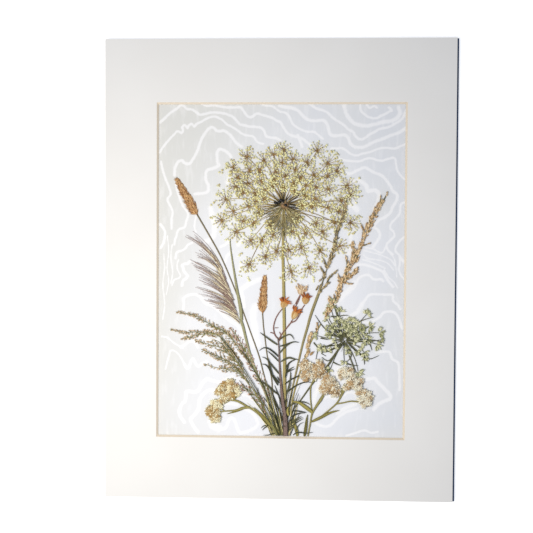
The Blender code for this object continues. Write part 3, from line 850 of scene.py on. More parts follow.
def pedicels(random, centres, heads, height, width):
    """A thread from each umbellet's centre to each of its florets."""
    count = heads.shape[1]
    starts = np.repeat(raised(np.asarray(centres, float), height), count, axis=0)
    ends = heads.reshape(-1, 3) - np.array([0, 0, 0.15])
    paths = arcs(starts, ends, random.uniform(-0.6, 0.6, len(ends)), 4)
    return sweep(paths, np.linspace(width * 1.5, width, 4)[None], np.full((1, 4), width), oval_section(4),
                 random.uniform(0, 1, len(ends)))


def spokes(random, hub, count, turn_low, turn_high, inner, outer, width, height):
    """Short rays round the hub, each from a random inner radius to a random outer one."""
    heading = headings(np.linspace(turn_low, turn_high, count) + random.normal(0, 0.05, count))
    hub = np.asarray(hub, float)
    starts = hub + heading * random.uniform(*inner, count)[:, None]
    ends = hub + heading * random.uniform(*outer, count)[:, None]
    level = height + random.uniform(0, 0.3, count)
    paths = arcs(raised(starts, level), raised(ends, level), random.normal(0, 0.7, count), 7)
    widths = widths_along(7, [0, 0.2, 1], [0.7, 1, 0.35]) * width
    return sweep(paths, widths * random.uniform(0.7, 1.3, (count, 1)), widths * 0.6, oval_section(6),
                 random.uniform(0, 1, count))


class PRESSED_OT_wild_carrot(bpy.types.Operator):
    """Build the wild carrot: ribbed stem, rays, threads, florets and feathery bracts."""
    bl_idname = "pressed.wild_carrot"
    bl_label = "Wild Carrot"

    def execute(self, context):
        settings = context.scene.pressed_plants
        random = np.random.default_rng(11)
        # rim is the colour of the painted shade on the stem's right side
        stem_finish = plant_finish("carrot_stem_finish", (200, 186, 124), (136, 122, 70), edge_shade=0.95,
                                   rim=(70, 70, 42))
        make_piece("wild_carrot_stalk", [
            stem([(7.6, CUT_END_Y), (6.6, -120), (5.8, -100), (5.6, -75), (5.2, -50), (4.8, -30), (4.2, -5),
                  (3.6, 15), (4.2, 40), (4.6, 54)], [3.0, 3.0, 3.0, 3.0, 2.9, 2.8, 2.6, 2.4, 2.2, 2.0],
                 height_of("wild_carrot_stem"), thickness=0.62, section=oval_section(20, 9, 0.05))],
            stem_finish, ["wild_carrot_stem"])
        height = height_of("wild_carrot_umbel") - 0.3
        ray_finish = plant_finish("carrot_ray_finish", (206, 188, 132), (146, 122, 76), edge_shade=0.4)
        make_piece("wild_carrot_rays", [
            umbel_rays(random, CARROT_HUB, CARROT_UMBELLETS, height, 0.62, 0.5)],
            ray_finish, ["wild_carrot_umbel"])
        heads = umbellet_heads(random, CARROT_HUB, CARROT_UMBELLETS, settings.florets, (4.6, 8.0), height)
        thread_finish = plant_finish("carrot_thread_finish", (200, 174, 112), (132, 104, 56), edge_shade=0.1)
        make_piece("wild_carrot_threads", [pedicels(random, CARROT_UMBELLETS, heads, height, 0.2)],
                   thread_finish)
        floret_finish = plant_finish("carrot_floret_finish", (255, 254, 200), (202, 180, 100), edge_shade=0.0,
                                     roughness=0.85)
        strays = raised(np.asarray(CARROT_STRAYS, float), height + 0.4)
        strays = np.repeat(strays, 3, axis=0) + random.normal(0, 1.4, (3 * len(strays), 3)) * (1, 1, 0)
        spots = np.concatenate([heads.reshape(-1, 3), strays])
        size = settings.floret_size * random.uniform(0.7, 1.2, len(spots))
        make_piece("wild_carrot_florets", [
            stamp(FLORET, spots, size[:, None] * np.array([1.0, 1.0, 0.6]),
                  random.uniform(0, 6.3, len(spots)), random.uniform(0, 1, len(spots)) ** 0.55,
                  random.normal(0, 0.4, len(spots)))],
            floret_finish)
        knot_finish = plant_finish("carrot_knot_finish", (190, 150, 94), (122, 88, 46))
        stars = [spokes(random, centre, 6, 0, 5.2, (0.1, 0.4), (1.0, 2.2), 0.5, height + 0.3)
                 for centre in CARROT_UMBELLETS]
        make_piece("wild_carrot_knots", stars, knot_finish)
        spoke_finish = plant_finish("carrot_spoke_finish", (92, 80, 50), (30, 27, 18), edge_shade=0.3)
        make_piece("wild_carrot_spokes", [
            spokes(random, CARROT_HUB, 34, -0.75, 3.4, (2.6, 4.6), (7, 15), 0.62, height + 0.5),
            spokes(random, CARROT_HUB, 12, -0.6, 0.8, (5, 8), (13, 26), 0.55, height + 0.5)],
            spoke_finish)
        bract_finish = plant_finish("carrot_bract_finish", (200, 188, 136), (40, 38, 24), edge_shade=0.2)
        make_piece("wild_carrot_bracts", [
            spokes(random, CARROT_HUB, 34, 3.25, 5.75, (3, 9), (12, 28), 0.62, height + 0.5),
            spokes(random, (3, 48), 26, 3.3, 6.1, (3, 8), (10, 24), 0.5, height + 0.6),
            spokes(random, (4, 50), 34, 3.1, 6.4, (4, 10), (12, 20), 0.5, height + 0.7),
            spokes(random, (4, 36), 30, 0, 6.2, (1, 4), (5, 9), 0.5, height + 0.7)],
            bract_finish)
        make_piece("wild_carrot_pale_rays", [
            spokes(random, (4, 52), 30, 3.0, 6.4, (2, 12), (10, 26), 0.5, height + 0.55)],
            ray_finish)
        disc_finish = plant_finish("carrot_disc_finish", (178, 146, 104), (104, 78, 52))
        make_piece("wild_carrot_disc", [
            stamp(POD, [(5, 57, height + 0.6)], np.array([7.6, 7.0, 1.4]), 0.3, 0.6),
            spokes(random, (5, 57), 16, 0, 6.0, (0.4, 1.2), (3.0, 5.4), 0.6, height + 0.9)],
            disc_finish)
        dark_finish = plant_finish("carrot_hub_finish", (38, 34, 42), (10, 10, 16), roughness=0.4)
        hub_spots = raised([(-2.8, 58.7), (0.2, 59.6), (1.6, 61.2), (3.4, 60.2), (5.8, 57.0)], height + 1.5)
        sizes = [(4.2, 3.0, 0.8), (2.8, 2.8, 0.8), (3.8, 3.4, 0.8), (3.0, 2.6, 0.8), (3.0, 3.6, 0.9)]
        make_piece("wild_carrot_hub", [
            stamp(POD, hub_spots, sizes, random.uniform(-0.6, 0.2, len(hub_spots)), 0.2)],
            dark_finish)
        return {"FINISHED"}


# ---------------------------------------------------------------- canary grasses

def bristle_head(random, places, widths, count, length, height):
    """Pointed spikelets packed round an axis, all leaning up it: the outer ones stand off it by
    an angle that grows with their distance from the middle."""
    stops = 60
    share = random.uniform(0, 0.93, count)
    axis, run = spine(places, stops)
    index = (share * (stops - 1)).astype(int)
    width = np.interp(share, np.linspace(0, 1, len(widths)), widths)
    side = random.uniform(-1, 1, count)
    lean = side * np.interp(share, [0, 0.25, 1], [0.8, 0.5, 0.2]) + random.normal(0, 0.08, count)
    lean *= np.where(side < 0, 1.3, 0.8)
    direction = turned(run[index], -lean)
    spots = (axis[index] + rightward(run[index]) * (side * width * 0.34)[:, None]
             + direction * 0.2 * length)
    level = height + (1 - side ** 2) * 0.7 - 0.35 * share
    turns = np.arctan2(direction[:, 1], direction[:, 0])
    sizes = np.stack([length * random.uniform(0.75, 1.25, count) * (1 - 0.35 * share),
                      random.uniform(0.55, 0.85, count), random.uniform(0.4, 0.7, count)], axis=1)
    tones = np.clip(random.uniform(-0.1, 1.2, count) - 0.15 * (side < -0.3), 0, 1)
    return stamp(SPIKELET, raised(spots, level), sizes, turns, tones,
                 random.uniform(-0.1, 0.12, count), along_axis=True)


class PRESSED_OT_canary_grasses(bpy.types.Operator):
    """Build the two canary grasses: fine stems and furry rust heads."""
    bl_idname = "pressed.canary_grasses"
    bl_label = "Canary Grasses"

    def execute(self, context):
        settings = context.scene.pressed_plants
        random = np.random.default_rng(12)
        stem_finish = plant_finish("grass_stem_finish", (150, 138, 104), (98, 88, 60), edge_shade=0.6)
        head_finish = plant_finish("canary_head_finish", (232, 192, 136), (154, 104, 62), edge_shade=0.3)
        low = height_of("canary_grass_tall_stem")
        make_piece("canary_grass_tall_stalk", [
            stem([(2, CUT_END_Y), (-2, -128), (-8, -108), (-13, -90), (-17, -75), (-25, -53), (-38, -18),
                  (-50, 10), (-61, 30), (-72.5, 49.5)],
                 [1.2, 1.2, 1.1, 1.1, 1.0, 1.0, 1.0, 1.1, 1.2, 1.2], low)],
            stem_finish, ["canary_grass_tall_stem"])
        make_piece("canary_grass_short_stalk", [
            stem([(1.5, -134), (-2, -120), (-4.6, -108), (-5.6, -96), (-8, -84), (-10, -73), (-11.4, -62),
                  (-13, -50), (-14, -37.5)], [1.2, 1.2, 1.2, 1.1, 1.0, 1.0, 1.0, 1.0, 1.0], low)],
            stem_finish, ["canary_grass_short_stem"])
        make_piece("canary_grass_tall_fur", [
            stem([(-72.4, 49.5), (-77, 57), (-84, 69), (-90, 80)], [1.4, 4.5, 6, 6, 5, 3.6, 2], low - 0.1,
                 tone=0.1),
            bristle_head(random, [(-72.4, 49.5), (-77, 57), (-84, 69), (-90.6, 81)],
                         [3, 8, 9.4, 8.8, 7.4, 5.8, 4, 1.6], settings.bristles, 6.4, low)],
            head_finish, ["canary_grass_tall_head"])
        make_piece("canary_grass_short_fur", [
            stem([(-14, -36.6), (-13.6, -28), (-12.6, -16), (-12, -5)], [1.6, 4.6, 5, 4.2, 3.4, 2.4, 1.4],
                 low - 0.1, tone=0.1),
            bristle_head(random, [(-14, -36.6), (-13.6, -28), (-12.6, -16), (-11.8, -4)],
                         [3.4, 8, 7.8, 6.6, 5.2, 4, 2.2], int(settings.bristles * 0.8), 5.6, low)],
            head_finish, ["canary_grass_short_head"])
        return {"FINISHED"}


# ---------------------------------------------------------------- foxtail barley

BARLEY_SPINE = [(-33.2, -47), (-36, -38), (-40, -26), (-45, -12), (-50, 0), (-54.5, 8)]
# Brushes of the barley: shares of the spine where they start, the two ends of the line that their
# tips lie on, and their awns when the setting is at USUAL_AWNS
USUAL_AWNS = 113
BARLEY_BRUSHES = [
    (0.68, 0.98, (-82.5, 28.5), (-74, 33), 15), (0.5, 0.84, (-79, 14), (-68, 20), 14),
    (0.4, 0.7, (-80.5, 12), (-76, 7), 14), (0.32, 0.6, (-77, 6), (-72, -1), 14),
    (0.22, 0.48, (-74, -1), (-71, -9), 14), (0.12, 0.36, (-76, -13), (-70, -18), 14),
    (0.05, 0.24, (-76, -19), (-64, -28), 14), (0.0, 0.12, (-64, -29), (-50, -37), 10),
]


def barley_strands(random, starts, ends, level, bows, stops, profile, tones):
    """Flat fibres from each start to its end, with the profile's shares and widths along them."""
    paths = arcs(raised(starts, level), raised(ends, level), bows, stops)
    widths = widths_along(stops, *profile) * random.uniform(0.75, 1.2, (len(starts), 1))
    return sweep(paths, widths, widths * 0.5 + 0.05, oval_section(5), random.choice(tones, len(starts)))


class PRESSED_OT_foxtail_barley(bpy.types.Operator):
    """Build the foxtail barley: its brushes of chaff and awns, blade and stem."""
    bl_idname = "pressed.foxtail_barley"
    bl_label = "Foxtail Barley"

    def execute(self, context):
        random = np.random.default_rng(13)
        share_of = context.scene.pressed_plants.awns / USUAL_AWNS
        height = height_of("foxtail_barley_plume") - 0.2
        stops = 100
        middle = smooth_route(BARLEY_SPINE, stops)
        twist = 0.16
        awn_profile = [0, 0.1, 0.3, 0.5, 1.0], [0.3, 0.66, 0.66, 0.5, 0.26]
        chaff_profile = [0, 0.2, 0.6, 1.0], [0.25, 0.85, 0.65, 0.2]
        chaff, awns = [], []
        for low, high, one, other, count in BARLEY_BRUSHES:
            one, other = np.asarray(one), np.asarray(other)
            count = max(3, int(count * share_of))
            where = random.uniform(low, high, count)
            starts = middle[(where * (stops - 1)).astype(int)] + random.normal(0, 0.5, (count, 2))
            place = ((np.argsort(np.argsort(where)) + random.uniform(0.1, 0.9, count)) / count)[:, None]
            ends = other + (one - other) * place
            ends = starts + (ends - starts) * random.uniform(0.7, 1.06, (count, 1))
            level = height + random.uniform(0, 0.6, count)
            bows = np.linalg.norm(ends - starts, axis=1) * random.uniform(-0.09, -0.04, count)
            awns.append(barley_strands(random, starts, ends, level, bows, 14, awn_profile, [0.0, 0.3, 1.0]))
            count = int(count * 1.1)
            where = random.uniform(low, high, count)
            starts = middle[(where * (stops - 1)).astype(int)] + random.normal(0, 0.7, (count, 2))
            heading = (one + other) / 2 - starts
            heading /= np.linalg.norm(heading, axis=1)[:, None]
            heading = turned(turned(heading, random.normal(0, 0.09, count)), -twist)
            starts = starts + heading * random.uniform(0, 7, count)[:, None]
            ends = starts + heading * random.uniform(8, 15, count)[:, None]
            level = height + random.uniform(0.1, 0.7, count)
            bows = random.uniform(-0.9, 0.2, count)
            chaff.append(barley_strands(random, starts, ends, level, bows, 8, chaff_profile, [0.0, 0.5, 1.0]))
        awn_finish = plant_finish("barley_awn_finish", (228, 218, 184), (146, 120, 112),
                                  tip=(190, 172, 164), edge_shade=0.3)
        chaff_finish = plant_finish("barley_chaff_finish", (236, 226, 190), (146, 120, 108),
                                    spot=(100, 76, 72), edge_shade=0.5)
        make_piece("foxtail_barley_awns", awns, awn_finish, ["foxtail_barley_plume"])
        make_piece("foxtail_barley_chaff", chaff, chaff_finish)
        # rim is the colour of the painted shade on the right side of the stem and leaf
        green = plant_finish("barley_stem_finish", (186, 182, 142), (122, 122, 86), edge_shade=0.7,
                             rim=(78, 86, 58))
        low = height_of("foxtail_barley_stem")
        make_piece("foxtail_barley_stalk", [
            stem([(3, CUT_END_Y), (-2, -133), (-7, -120), (-12, -106), (-18, -93), (-24, -76), (-28, -62),
                  (-31, -50), (-33.4, -43)], [2.0, 2.0, 2.1, 2.1, 2.0, 2.2, 2.2, 2.4, 2.6], low)],
            green, ["foxtail_barley_stem"])
        make_piece("foxtail_barley_leaf", [
            stem([(-32.4, -44), (-33.4, -33), (-36, -20), (-38.4, -6), (-41, 10), (-42.6, 22), (-42.8, 27.5)],
                 [2.6, 3.2, 2.4, 1.9, 1.5, 1.2, 0.8], height_of("foxtail_barley_blade"), thickness=0.4)],
            green, ["foxtail_barley_blade"])
        return {"FINISHED"}


# ---------------------------------------------------------------- panicle grasses

# Sprays of the loose grasses: route, spread, bare share and how crowded they are
PANICLES = [
    ([(3, -143), (-4, -124), (-12, -104), (-19, -92), (-27, -80), (-38, -64), (-48, -54), (-56, -50),
     (-66, -44.6), (-74, -40), (-82, -38.2), (-90.5, -37.2)], 3.6, 0.5, 1.2),
    ([(2, -144), (-6, -128), (-14, -112), (-22, -98), (-30, -84), (-38, -74), (-48, -61), (-60, -55),
     (-75, -55), (-87, -54.8), (-95.5, -52.4)], 3.2, 0.52, 1.2),
    ([(-50, -57), (-60, -56), (-68, -57), (-78, -59), (-86, -61.6)], 2.6, 0.0, 1.2),
    ([(0, -138), (-10, -118), (-20, -103), (-30, -90), (-40, -77), (-50, -69), (-62, -65.5), (-74, -62)],
     5.0, 0.52, 1.0),
    ([(0, -139), (-11, -120), (-24, -101), (-38, -84.5), (-50, -77.5), (-60, -73.5), (-68, -70)], 5.0, 0.52,
     0.95),
    ([(1, -141), (-10, -124), (-22, -106), (-32, -93), (-42, -88), (-55, -86), (-66, -82.6)], 3.6, 0.55,
     0.7),
    ([(1, -142), (-9, -128), (-16, -115), (-24, -107), (-32, -102.5), (-40, -100)], 4.2, 0.35, 1.3),
    ([(2, -140), (-6, -118), (-13, -101), (-20, -88), (-26, -77), (-32, -66), (-37, -57), (-43, -50.5)],
     4.6, 0.3, 1.35),
    ([(-36, -84), (-44, -72), (-50, -65), (-56, -62), (-62, -64)], 3.2, 0.2, 0.7),
    ([(-40, -60), (-46, -55), (-52, -52), (-60, -50)], 3.2, 0.0, 1.0),
    ([(-22, -102), (-31, -93), (-40, -85), (-48, -80), (-56, -78)], 3.4, 0.4, 0.7),
    ([(-28, -92), (-38, -80), (-46, -73), (-56, -69)], 3.4, 0.4, 0.7),
]
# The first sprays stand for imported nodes; the rest lie at the height of one of those
PACKED_SPRAYS = 7
SHARED_SPRAY = 4
# Thin green culms of the same grasses
CULMS = [
    [(1, -145), (-8, -124), (-15, -112), (-20, -102.5), (-28, -89.5), (-35, -78.5), (-43, -68), (-50, -60)],
    [(-1, -145), (-10, -125), (-18, -110.5), (-24, -99), (-31, -88), (-38, -77.5), (-45, -67.5),
     (-52, -58)],
    [(0, -145), (-12, -121), (-20, -108), (-30, -94.5), (-38, -85)],
    [(3, -145), (-3, -128), (-9, -112), (-14, -100), (-21, -88), (-27, -78), (-33, -70)],
    [(0, -145), (-9, -131), (-17, -119), (-26, -107), (-34, -97)],
    [(4, -145), (0, -128), (-5, -112), (-11, -97)],
    [(-1, -145), (-9, -131), (-16, -121), (-22, -113)],
]


def grass_spray(random, places, spread, bare, density, height):
    """A fine axis with spikelets on both sides past its bare share, each on its own short thread
    that leaves the axis behind it at a narrow angle."""
    stops = 120
    axis, run = spine(places, stops)
    length = np.linalg.norm(np.diff(axis, axis=0), axis=1).sum()
    count = int(length * (1 - bare) / 10 * density)
    share = bare + (1 - bare) * random.uniform(0, 1, count) ** 0.9
    index = np.minimum((share * (stops - 1)).astype(int), stops - 2)
    side = random.choice([-1.0, 1.0], count) * random.uniform(0.1, 1, count) ** 0.8
    envelope = np.interp(share, [bare, bare + (1 - bare) * 0.3, 0.8, 1.0], [0.3, 1.0, 0.8, 0.25])
    spots = axis[index] + rightward(run[index]) * (side * spread * envelope)[:, None]
    back = np.maximum(index - (np.abs(side) * spread * envelope * stops / length * 1.6).astype(int), 0)
    angle = np.arctan2(run[index, 1], run[index, 0]) - side * 0.5 + random.normal(0, 0.25, count)
    level = height + random.uniform(0, 0.5, count)
    sizes = np.stack([random.uniform(1.3, 2.0, count), random.uniform(0.9, 1.25, count),
                      random.uniform(0.7, 1.0, count)], axis=1)
    seeds = stamp(SPIKELET, raised(spots, level), sizes, angle, random.uniform(0, 1, count), along_axis=True)
    threads = sweep(arcs(raised(axis[back], height), raised(spots, level), side * 0.3, 4),
                    np.full((1, 4), 0.26), np.full((1, 4), 0.22), oval_section(4),
                    random.uniform(0, 1, count))
    shown = int(0.92 * bare * (stops - 1))
    widths = widths_along(stops, [0, bare + 0.01, 1], [0.7, 0.6, 0.35])[:, shown:]
    axis_tube = sweep(raised(axis[shown:], height)[None], widths, widths * 0.6, oval_section(6),
                      [random.uniform(0, 1)])
    return seeds, [threads, axis_tube]


class PRESSED_OT_panicle_grasses(bpy.types.Operator):
    """Build the loose grass sprays that fan out to the left."""
    bl_idname = "pressed.panicle_grasses"
    bl_label = "Panicle Grasses"

    def execute(self, context):
        density = context.scene.pressed_plants.spikelets
        random = np.random.default_rng(14)
        seed_finish = plant_finish("panicle_seed_finish", (255, 234, 204), (156, 128, 84),
                                   spot=(120, 110, 62), edge_shade=0.35)
        pink_finish = plant_finish("panicle_pink_finish", (248, 216, 198), (156, 118, 98),
                                   spot=(120, 96, 70), edge_shade=0.35)
        stalk_finish = plant_finish("panicle_stalk_finish", (174, 168, 110), (104, 106, 58), edge_shade=0.4)
        culm_finish = plant_finish("panicle_culm_finish", (166, 162, 100), (50, 56, 28))
        for number, (places, spread, bare, crowd) in enumerate(PANICLES, start=1):
            packed = number <= PACKED_SPRAYS
            height = height_of(f"panicle_grass_spray_{number if packed else SHARED_SPRAY}")
            seeds, stalks = grass_spray(random, places, spread, bare, density * crowd, height)
            own = [f"panicle_grass_spray_{number}"] if packed else []
            pink = number in (7, 8)
            make_piece(f"panicle_grass_{number}_spikelets", [seeds], pink_finish if pink else seed_finish,
                       own)
            make_piece(f"panicle_grass_{number}_stalks", stalks, stalk_finish)
        make_piece("panicle_grass_culms", [
            stem(places, [0.9, 0.75, 0.65, 0.5], height_of("panicle_grass_spray_7") + 1.0,
                 tone=random.uniform(0, 1)) for places in CULMS], culm_finish)
        return {"FINISHED"}


# ---------------------------------------------------------------- everlastings

def everlasting_heads(random, centre, half_width, half_height, head, bracts, height, light):
    """Flower heads packed in an oval on a sunflower spiral; each head is a low dome of papery
    bracts in the same spiral, the outer ones longer, paler and laid flatter. Light shifts all tones."""
    count = max(2, int(1.5 * half_width * half_height / (head / 2) ** 2))
    number = np.arange(count) + 0.5
    angle = number * GOLDEN_ANGLE + random.uniform(0, 6.3)
    share = np.sqrt(number / count)
    spots = np.stack([centre[0] + (half_width - head / 3) * share * np.cos(angle),
                      centre[1] + (half_height - head / 3) * share * np.sin(angle)], axis=1)
    spots += random.normal(0, head * 0.1, spots.shape)
    ring = np.sqrt((np.arange(bracts) + 0.5) / bracts)
    turn = np.arange(bracts) * GOLDEN_ANGLE
    radius = head / 2 * random.uniform(0.8, 1.2, count)
    turns = turn[None] + random.uniform(0, 6.3, count)[:, None]
    distance = ring[None] * radius[:, None] * 0.8
    places = np.stack([spots[:, :1] + distance * np.cos(turns), spots[:, 1:] + distance * np.sin(turns),
                       height + 0.7 * (1 - ring[None] ** 2) * np.ones((count, 1))
                       + random.uniform(0, 0.5, count)[:, None]], axis=-1).reshape(-1, 3)
    total = count * bracts
    sizes = np.stack([np.tile(1.8 + 2.2 * ring, count), np.tile(1.9 + 1.3 * ring, count),
                      np.full(total, 1.4)], axis=1) * random.uniform(0.75, 1.25, (total, 1))
    tones = np.tile(ring ** 1.2, count) * 1.1 + random.normal(light - 0.08, 0.28, total)
    tones = np.clip(tones + np.repeat(random.normal(0, 0.5, count), bracts), 0, 1)
    return stamp(PETAL, places, sizes, turns.ravel() + random.normal(0, 0.35, total), tones,
                 np.tile(0.6 - 0.5 * ring, count) + random.normal(0, 0.15, total), along_axis=True)


# Ovals that each cluster's heads fill: centre, half width and half height
EVERLASTING_CLUSTERS = {
    "left_everlasting_upper_cluster": [((-44, -102), 8, 5.4), ((-40, -107.5), 7, 7), ((-51, -106), 4.4,
     5.4), ((-46.5, -110), 5, 5), ((-41.6, -98.6), 4, 2.6)],
    "left_everlasting_lower_cluster": [((-54, -119), 5, 5), ((-56.5, -127), 5.6, 6.6), ((-50.6, -115.6),
     3.6, 3), ((-59, -124), 3.6, 4.4), ((-54.5, -132), 3.4, 2.6)],
    "right_everlasting_cluster_a": [((24.5, -85), 5.4, 7.6), ((25, -92.5), 5.6, 4.6)],
    "right_everlasting_cluster_b": [((35.6, -84.6), 6.8, 6.4), ((34, -91.5), 4, 3.6)],
    "right_everlasting_cluster_c": [((45.5, -101), 9, 7.4), ((43, -94.6), 5.4, 4.6), ((50, -106.6), 5.4,
     4.4), ((40.6, -106), 4.6, 3.8)],
    "right_everlasting_cluster_d": [((60, -88.6), 7.6, 4.6), ((56.6, -91.6), 4.2, 3.4), ((65, -91), 4,
     3.4)],
    "right_everlasting_cluster_e": [((66, -99.6), 7.6, 4.8), ((61, -102), 4, 2.8), ((70, -96), 4, 2.6)],
    "right_everlasting_cluster_f": [((76.8, -113), 6.6, 7), ((72.6, -106.6), 5, 3.6), ((80, -110), 3, 4)],
}
# How much paler or darker than the rest some of the clusters are
EVERLASTING_LIGHT = {
    "left_everlasting_upper_cluster": 0.2, "left_everlasting_lower_cluster": 0.4,
    "right_everlasting_cluster_a": -0.2, "right_everlasting_cluster_b": -0.2,
    "right_everlasting_cluster_d": 0.7, "right_everlasting_cluster_f": 0.5,
}


class PRESSED_OT_everlastings(bpy.types.Operator):
    """Build both everlastings: packed papery flower heads, forked stems and leaves."""
    bl_idname = "pressed.everlastings"
    bl_label = "Everlastings"

    def execute(self, context):
        bracts = context.scene.pressed_plants.bracts
        random = np.random.default_rng(15)
        gold = plant_finish("left_everlasting_bract_finish", (255, 250, 214), (188, 150, 84), edge_shade=0.35,
                            spot=(146, 112, 58))
        peach = plant_finish("right_everlasting_bract_finish", (255, 252, 230), (202, 166, 114),
                             edge_shade=0.5, spot=(128, 100, 64))
        for node, ovals in EVERLASTING_CLUSTERS.items():
            height = height_of(node) - 0.2
            make_piece(node + "_heads", [
                everlasting_heads(random, centre, wide, high, 5.2, bracts, height,
                                  EVERLASTING_LIGHT.get(node, 0.0)) for centre, wide, high in ovals],
                gold if node.startswith("left") else peach, [node])
        olive = plant_finish("everlasting_leaf_finish", (172, 162, 90), (88, 84, 36), edge_shade=0.65)
        straw = plant_finish("everlasting_stem_finish", (184, 174, 112), (112, 106, 56), edge_shade=0.7)
        low = height_of("left_everlasting_stem")
        make_piece("left_everlasting_stalk", [
            stem([(0, -143), (-9, -134.5), (-19, -125), (-28, -119.6), (-36, -115.4), (-44, -114.4)],
                 [1.8, 1.8, 1.8, 1.6, 2.0, 1.6], low),
            stem([(-40, -114.6), (-36, -111), (-35.4, -106)], [1.6, 1.4, 1.0], low),
            stem([(-42, -114.6), (-47, -117.5), (-52, -120)], [1.4, 1.2, 0.8], low)],
            straw, ["left_everlasting_stem"])
        low = height_of("left_everlasting_branch")
        make_piece("left_everlasting_fork", [
            stem([(-25, -120.8), (-31, -121.6), (-37, -123.6), (-47, -124.6), (-55, -126)],
                 [2.4, 2.2, 1.4, 1.1, 1.4], low),
            stem([(-47, -124.4), (-50, -122), (-51.5, -119.5)], [1.1, 1.0, 0.7], low)],
            straw, ["left_everlasting_branch"])
        make_piece("left_everlasting_thin_leaf", [
            leaf([(-30, -122), (-37, -124.6), (-45, -127)], 1.6, height_of("left_everlasting_narrow_leaf"))],
            olive, ["left_everlasting_narrow_leaf"])
        top = height_of("left_everlasting_broad_leaf")
        make_piece("left_everlasting_wide_leaf", [
            leaf([(1, -142.5), (-7, -135.5), (-14, -128), (-21.5, -120.6)], 3.0, top, tone=0.6),
            leaf([(2, -143.5), (-4, -139), (-11, -133), (-18, -124.6)], 2.4, top - 0.4, tone=0.1)],
            olive, ["left_everlasting_broad_leaf"])
        low = height_of("right_everlasting_stem")
        make_piece("right_everlasting_stalk", [
            stem([(26.4, CUT_END_Y), (28.2, -136), (30, -126), (34, -118.6), (38, -112.4), (41.5, -106)],
                 [1.3, 1.3, 1.4, 2.0, 2.8, 2.0], low),
            stem([(30.6, -98), (33.5, -94), (37, -89.5)], [1.2, 1.1, 1.0], low)],
            straw, ["right_everlasting_stem"])
        make_piece("right_everlasting_left_fork", [
            stem([(30, -125), (28.6, -112), (28.8, -102), (31, -96), (32.4, -91)],
                 [1.1, 1.1, 1.2, 1.2, 1.4], low)],
            straw, ["right_everlasting_left_branch"])
        make_piece("right_everlasting_right_fork", [
            stem([(29.4, -133), (36, -129.6), (43, -124), (51, -116.8), (56, -109), (59, -103)],
                 [1.2, 1.4, 1.3, 1.3, 1.5, 1.6], low),
            stem([(50.6, -117), (57, -115.8), (64, -114.3), (71, -114.8)], [1.3, 1.2, 1.2, 1.3], low),
            stem([(54, -112), (56, -106), (58.4, -99)], [1.4, 2.0, 1.4], low)],
            straw, ["right_everlasting_right_branch"])
        make_piece("right_everlasting_leaves", [
            leaf([(30, -132.6), (37, -129.2), (46, -124.6), (54, -122.4)], 2.6,
                 height_of("right_everlasting_leaf")),
            leaf([(30.4, -124.6), (25, -120.4), (19, -116.4), (12, -114.7)], 3.2, low + 0.5, tone=0.8),
            leaf([(23.4, CUT_END_Y), (24.6, -138), (25.4, -130.5), (26.2, -126.4)], 2.6, low + 0.3, tone=0.2),
            leaf([(17.4, CUT_END_Y), (16.6, -141), (15, -136), (13, -131)], 3.0, low + 0.3, tone=0.7),
            leaf([(9.4, -127.5), (8.4, -123.5), (9.4, -119.6)], 2.0, low + 0.8, tone=1.0)],
            olive, ["right_everlasting_leaf"])
        return {"FINISHED"}


# ---------------------------------------------------------------- leafy stem

# Leaves of each tuft by its number: route and width
LEFT_LEAVES = {
    1: [([(-0.5, -65.5), (-5, -62.5), (-10, -59), (-16.2, -54.6)], 1.5)],
    2: [([(0.5, -76), (-5, -71), (-10, -68.2), (-14, -68.6), (-16.8, -71)], 1.4), ([(0.5, -80), (-5, -74.5),
     (-10, -70.5)], 1.2)],
    3: [([(1.5, -91.5), (-5, -84), (-10, -78), (-14.4, -76)], 1.5), ([(1, -99), (-5, -92), (-8, -86),
     (-11, -83), (-14.6, -82.3)], 1.8), ([(0, -101), (-4, -94), (-6.5, -87), (-8.6, -76.5)], 1.6),
     ([(1.5, -97), (-1, -93)], 1.0)],
    4: [([(0, -109), (-5, -105), (-10, -100.5), (-15, -97.8), (-20, -97.2)], 1.6), ([(-9, -137.2),
     (-12, -136.8), (-15, -139)], 1.0), ([(-9.6, -137.6), (-12, -139), (-13.6, -141)], 1.0), ([(1, -142.6),
     (-4, -143.6), (-8, -145.0), (-13, -145.2)], 1.0)],
}
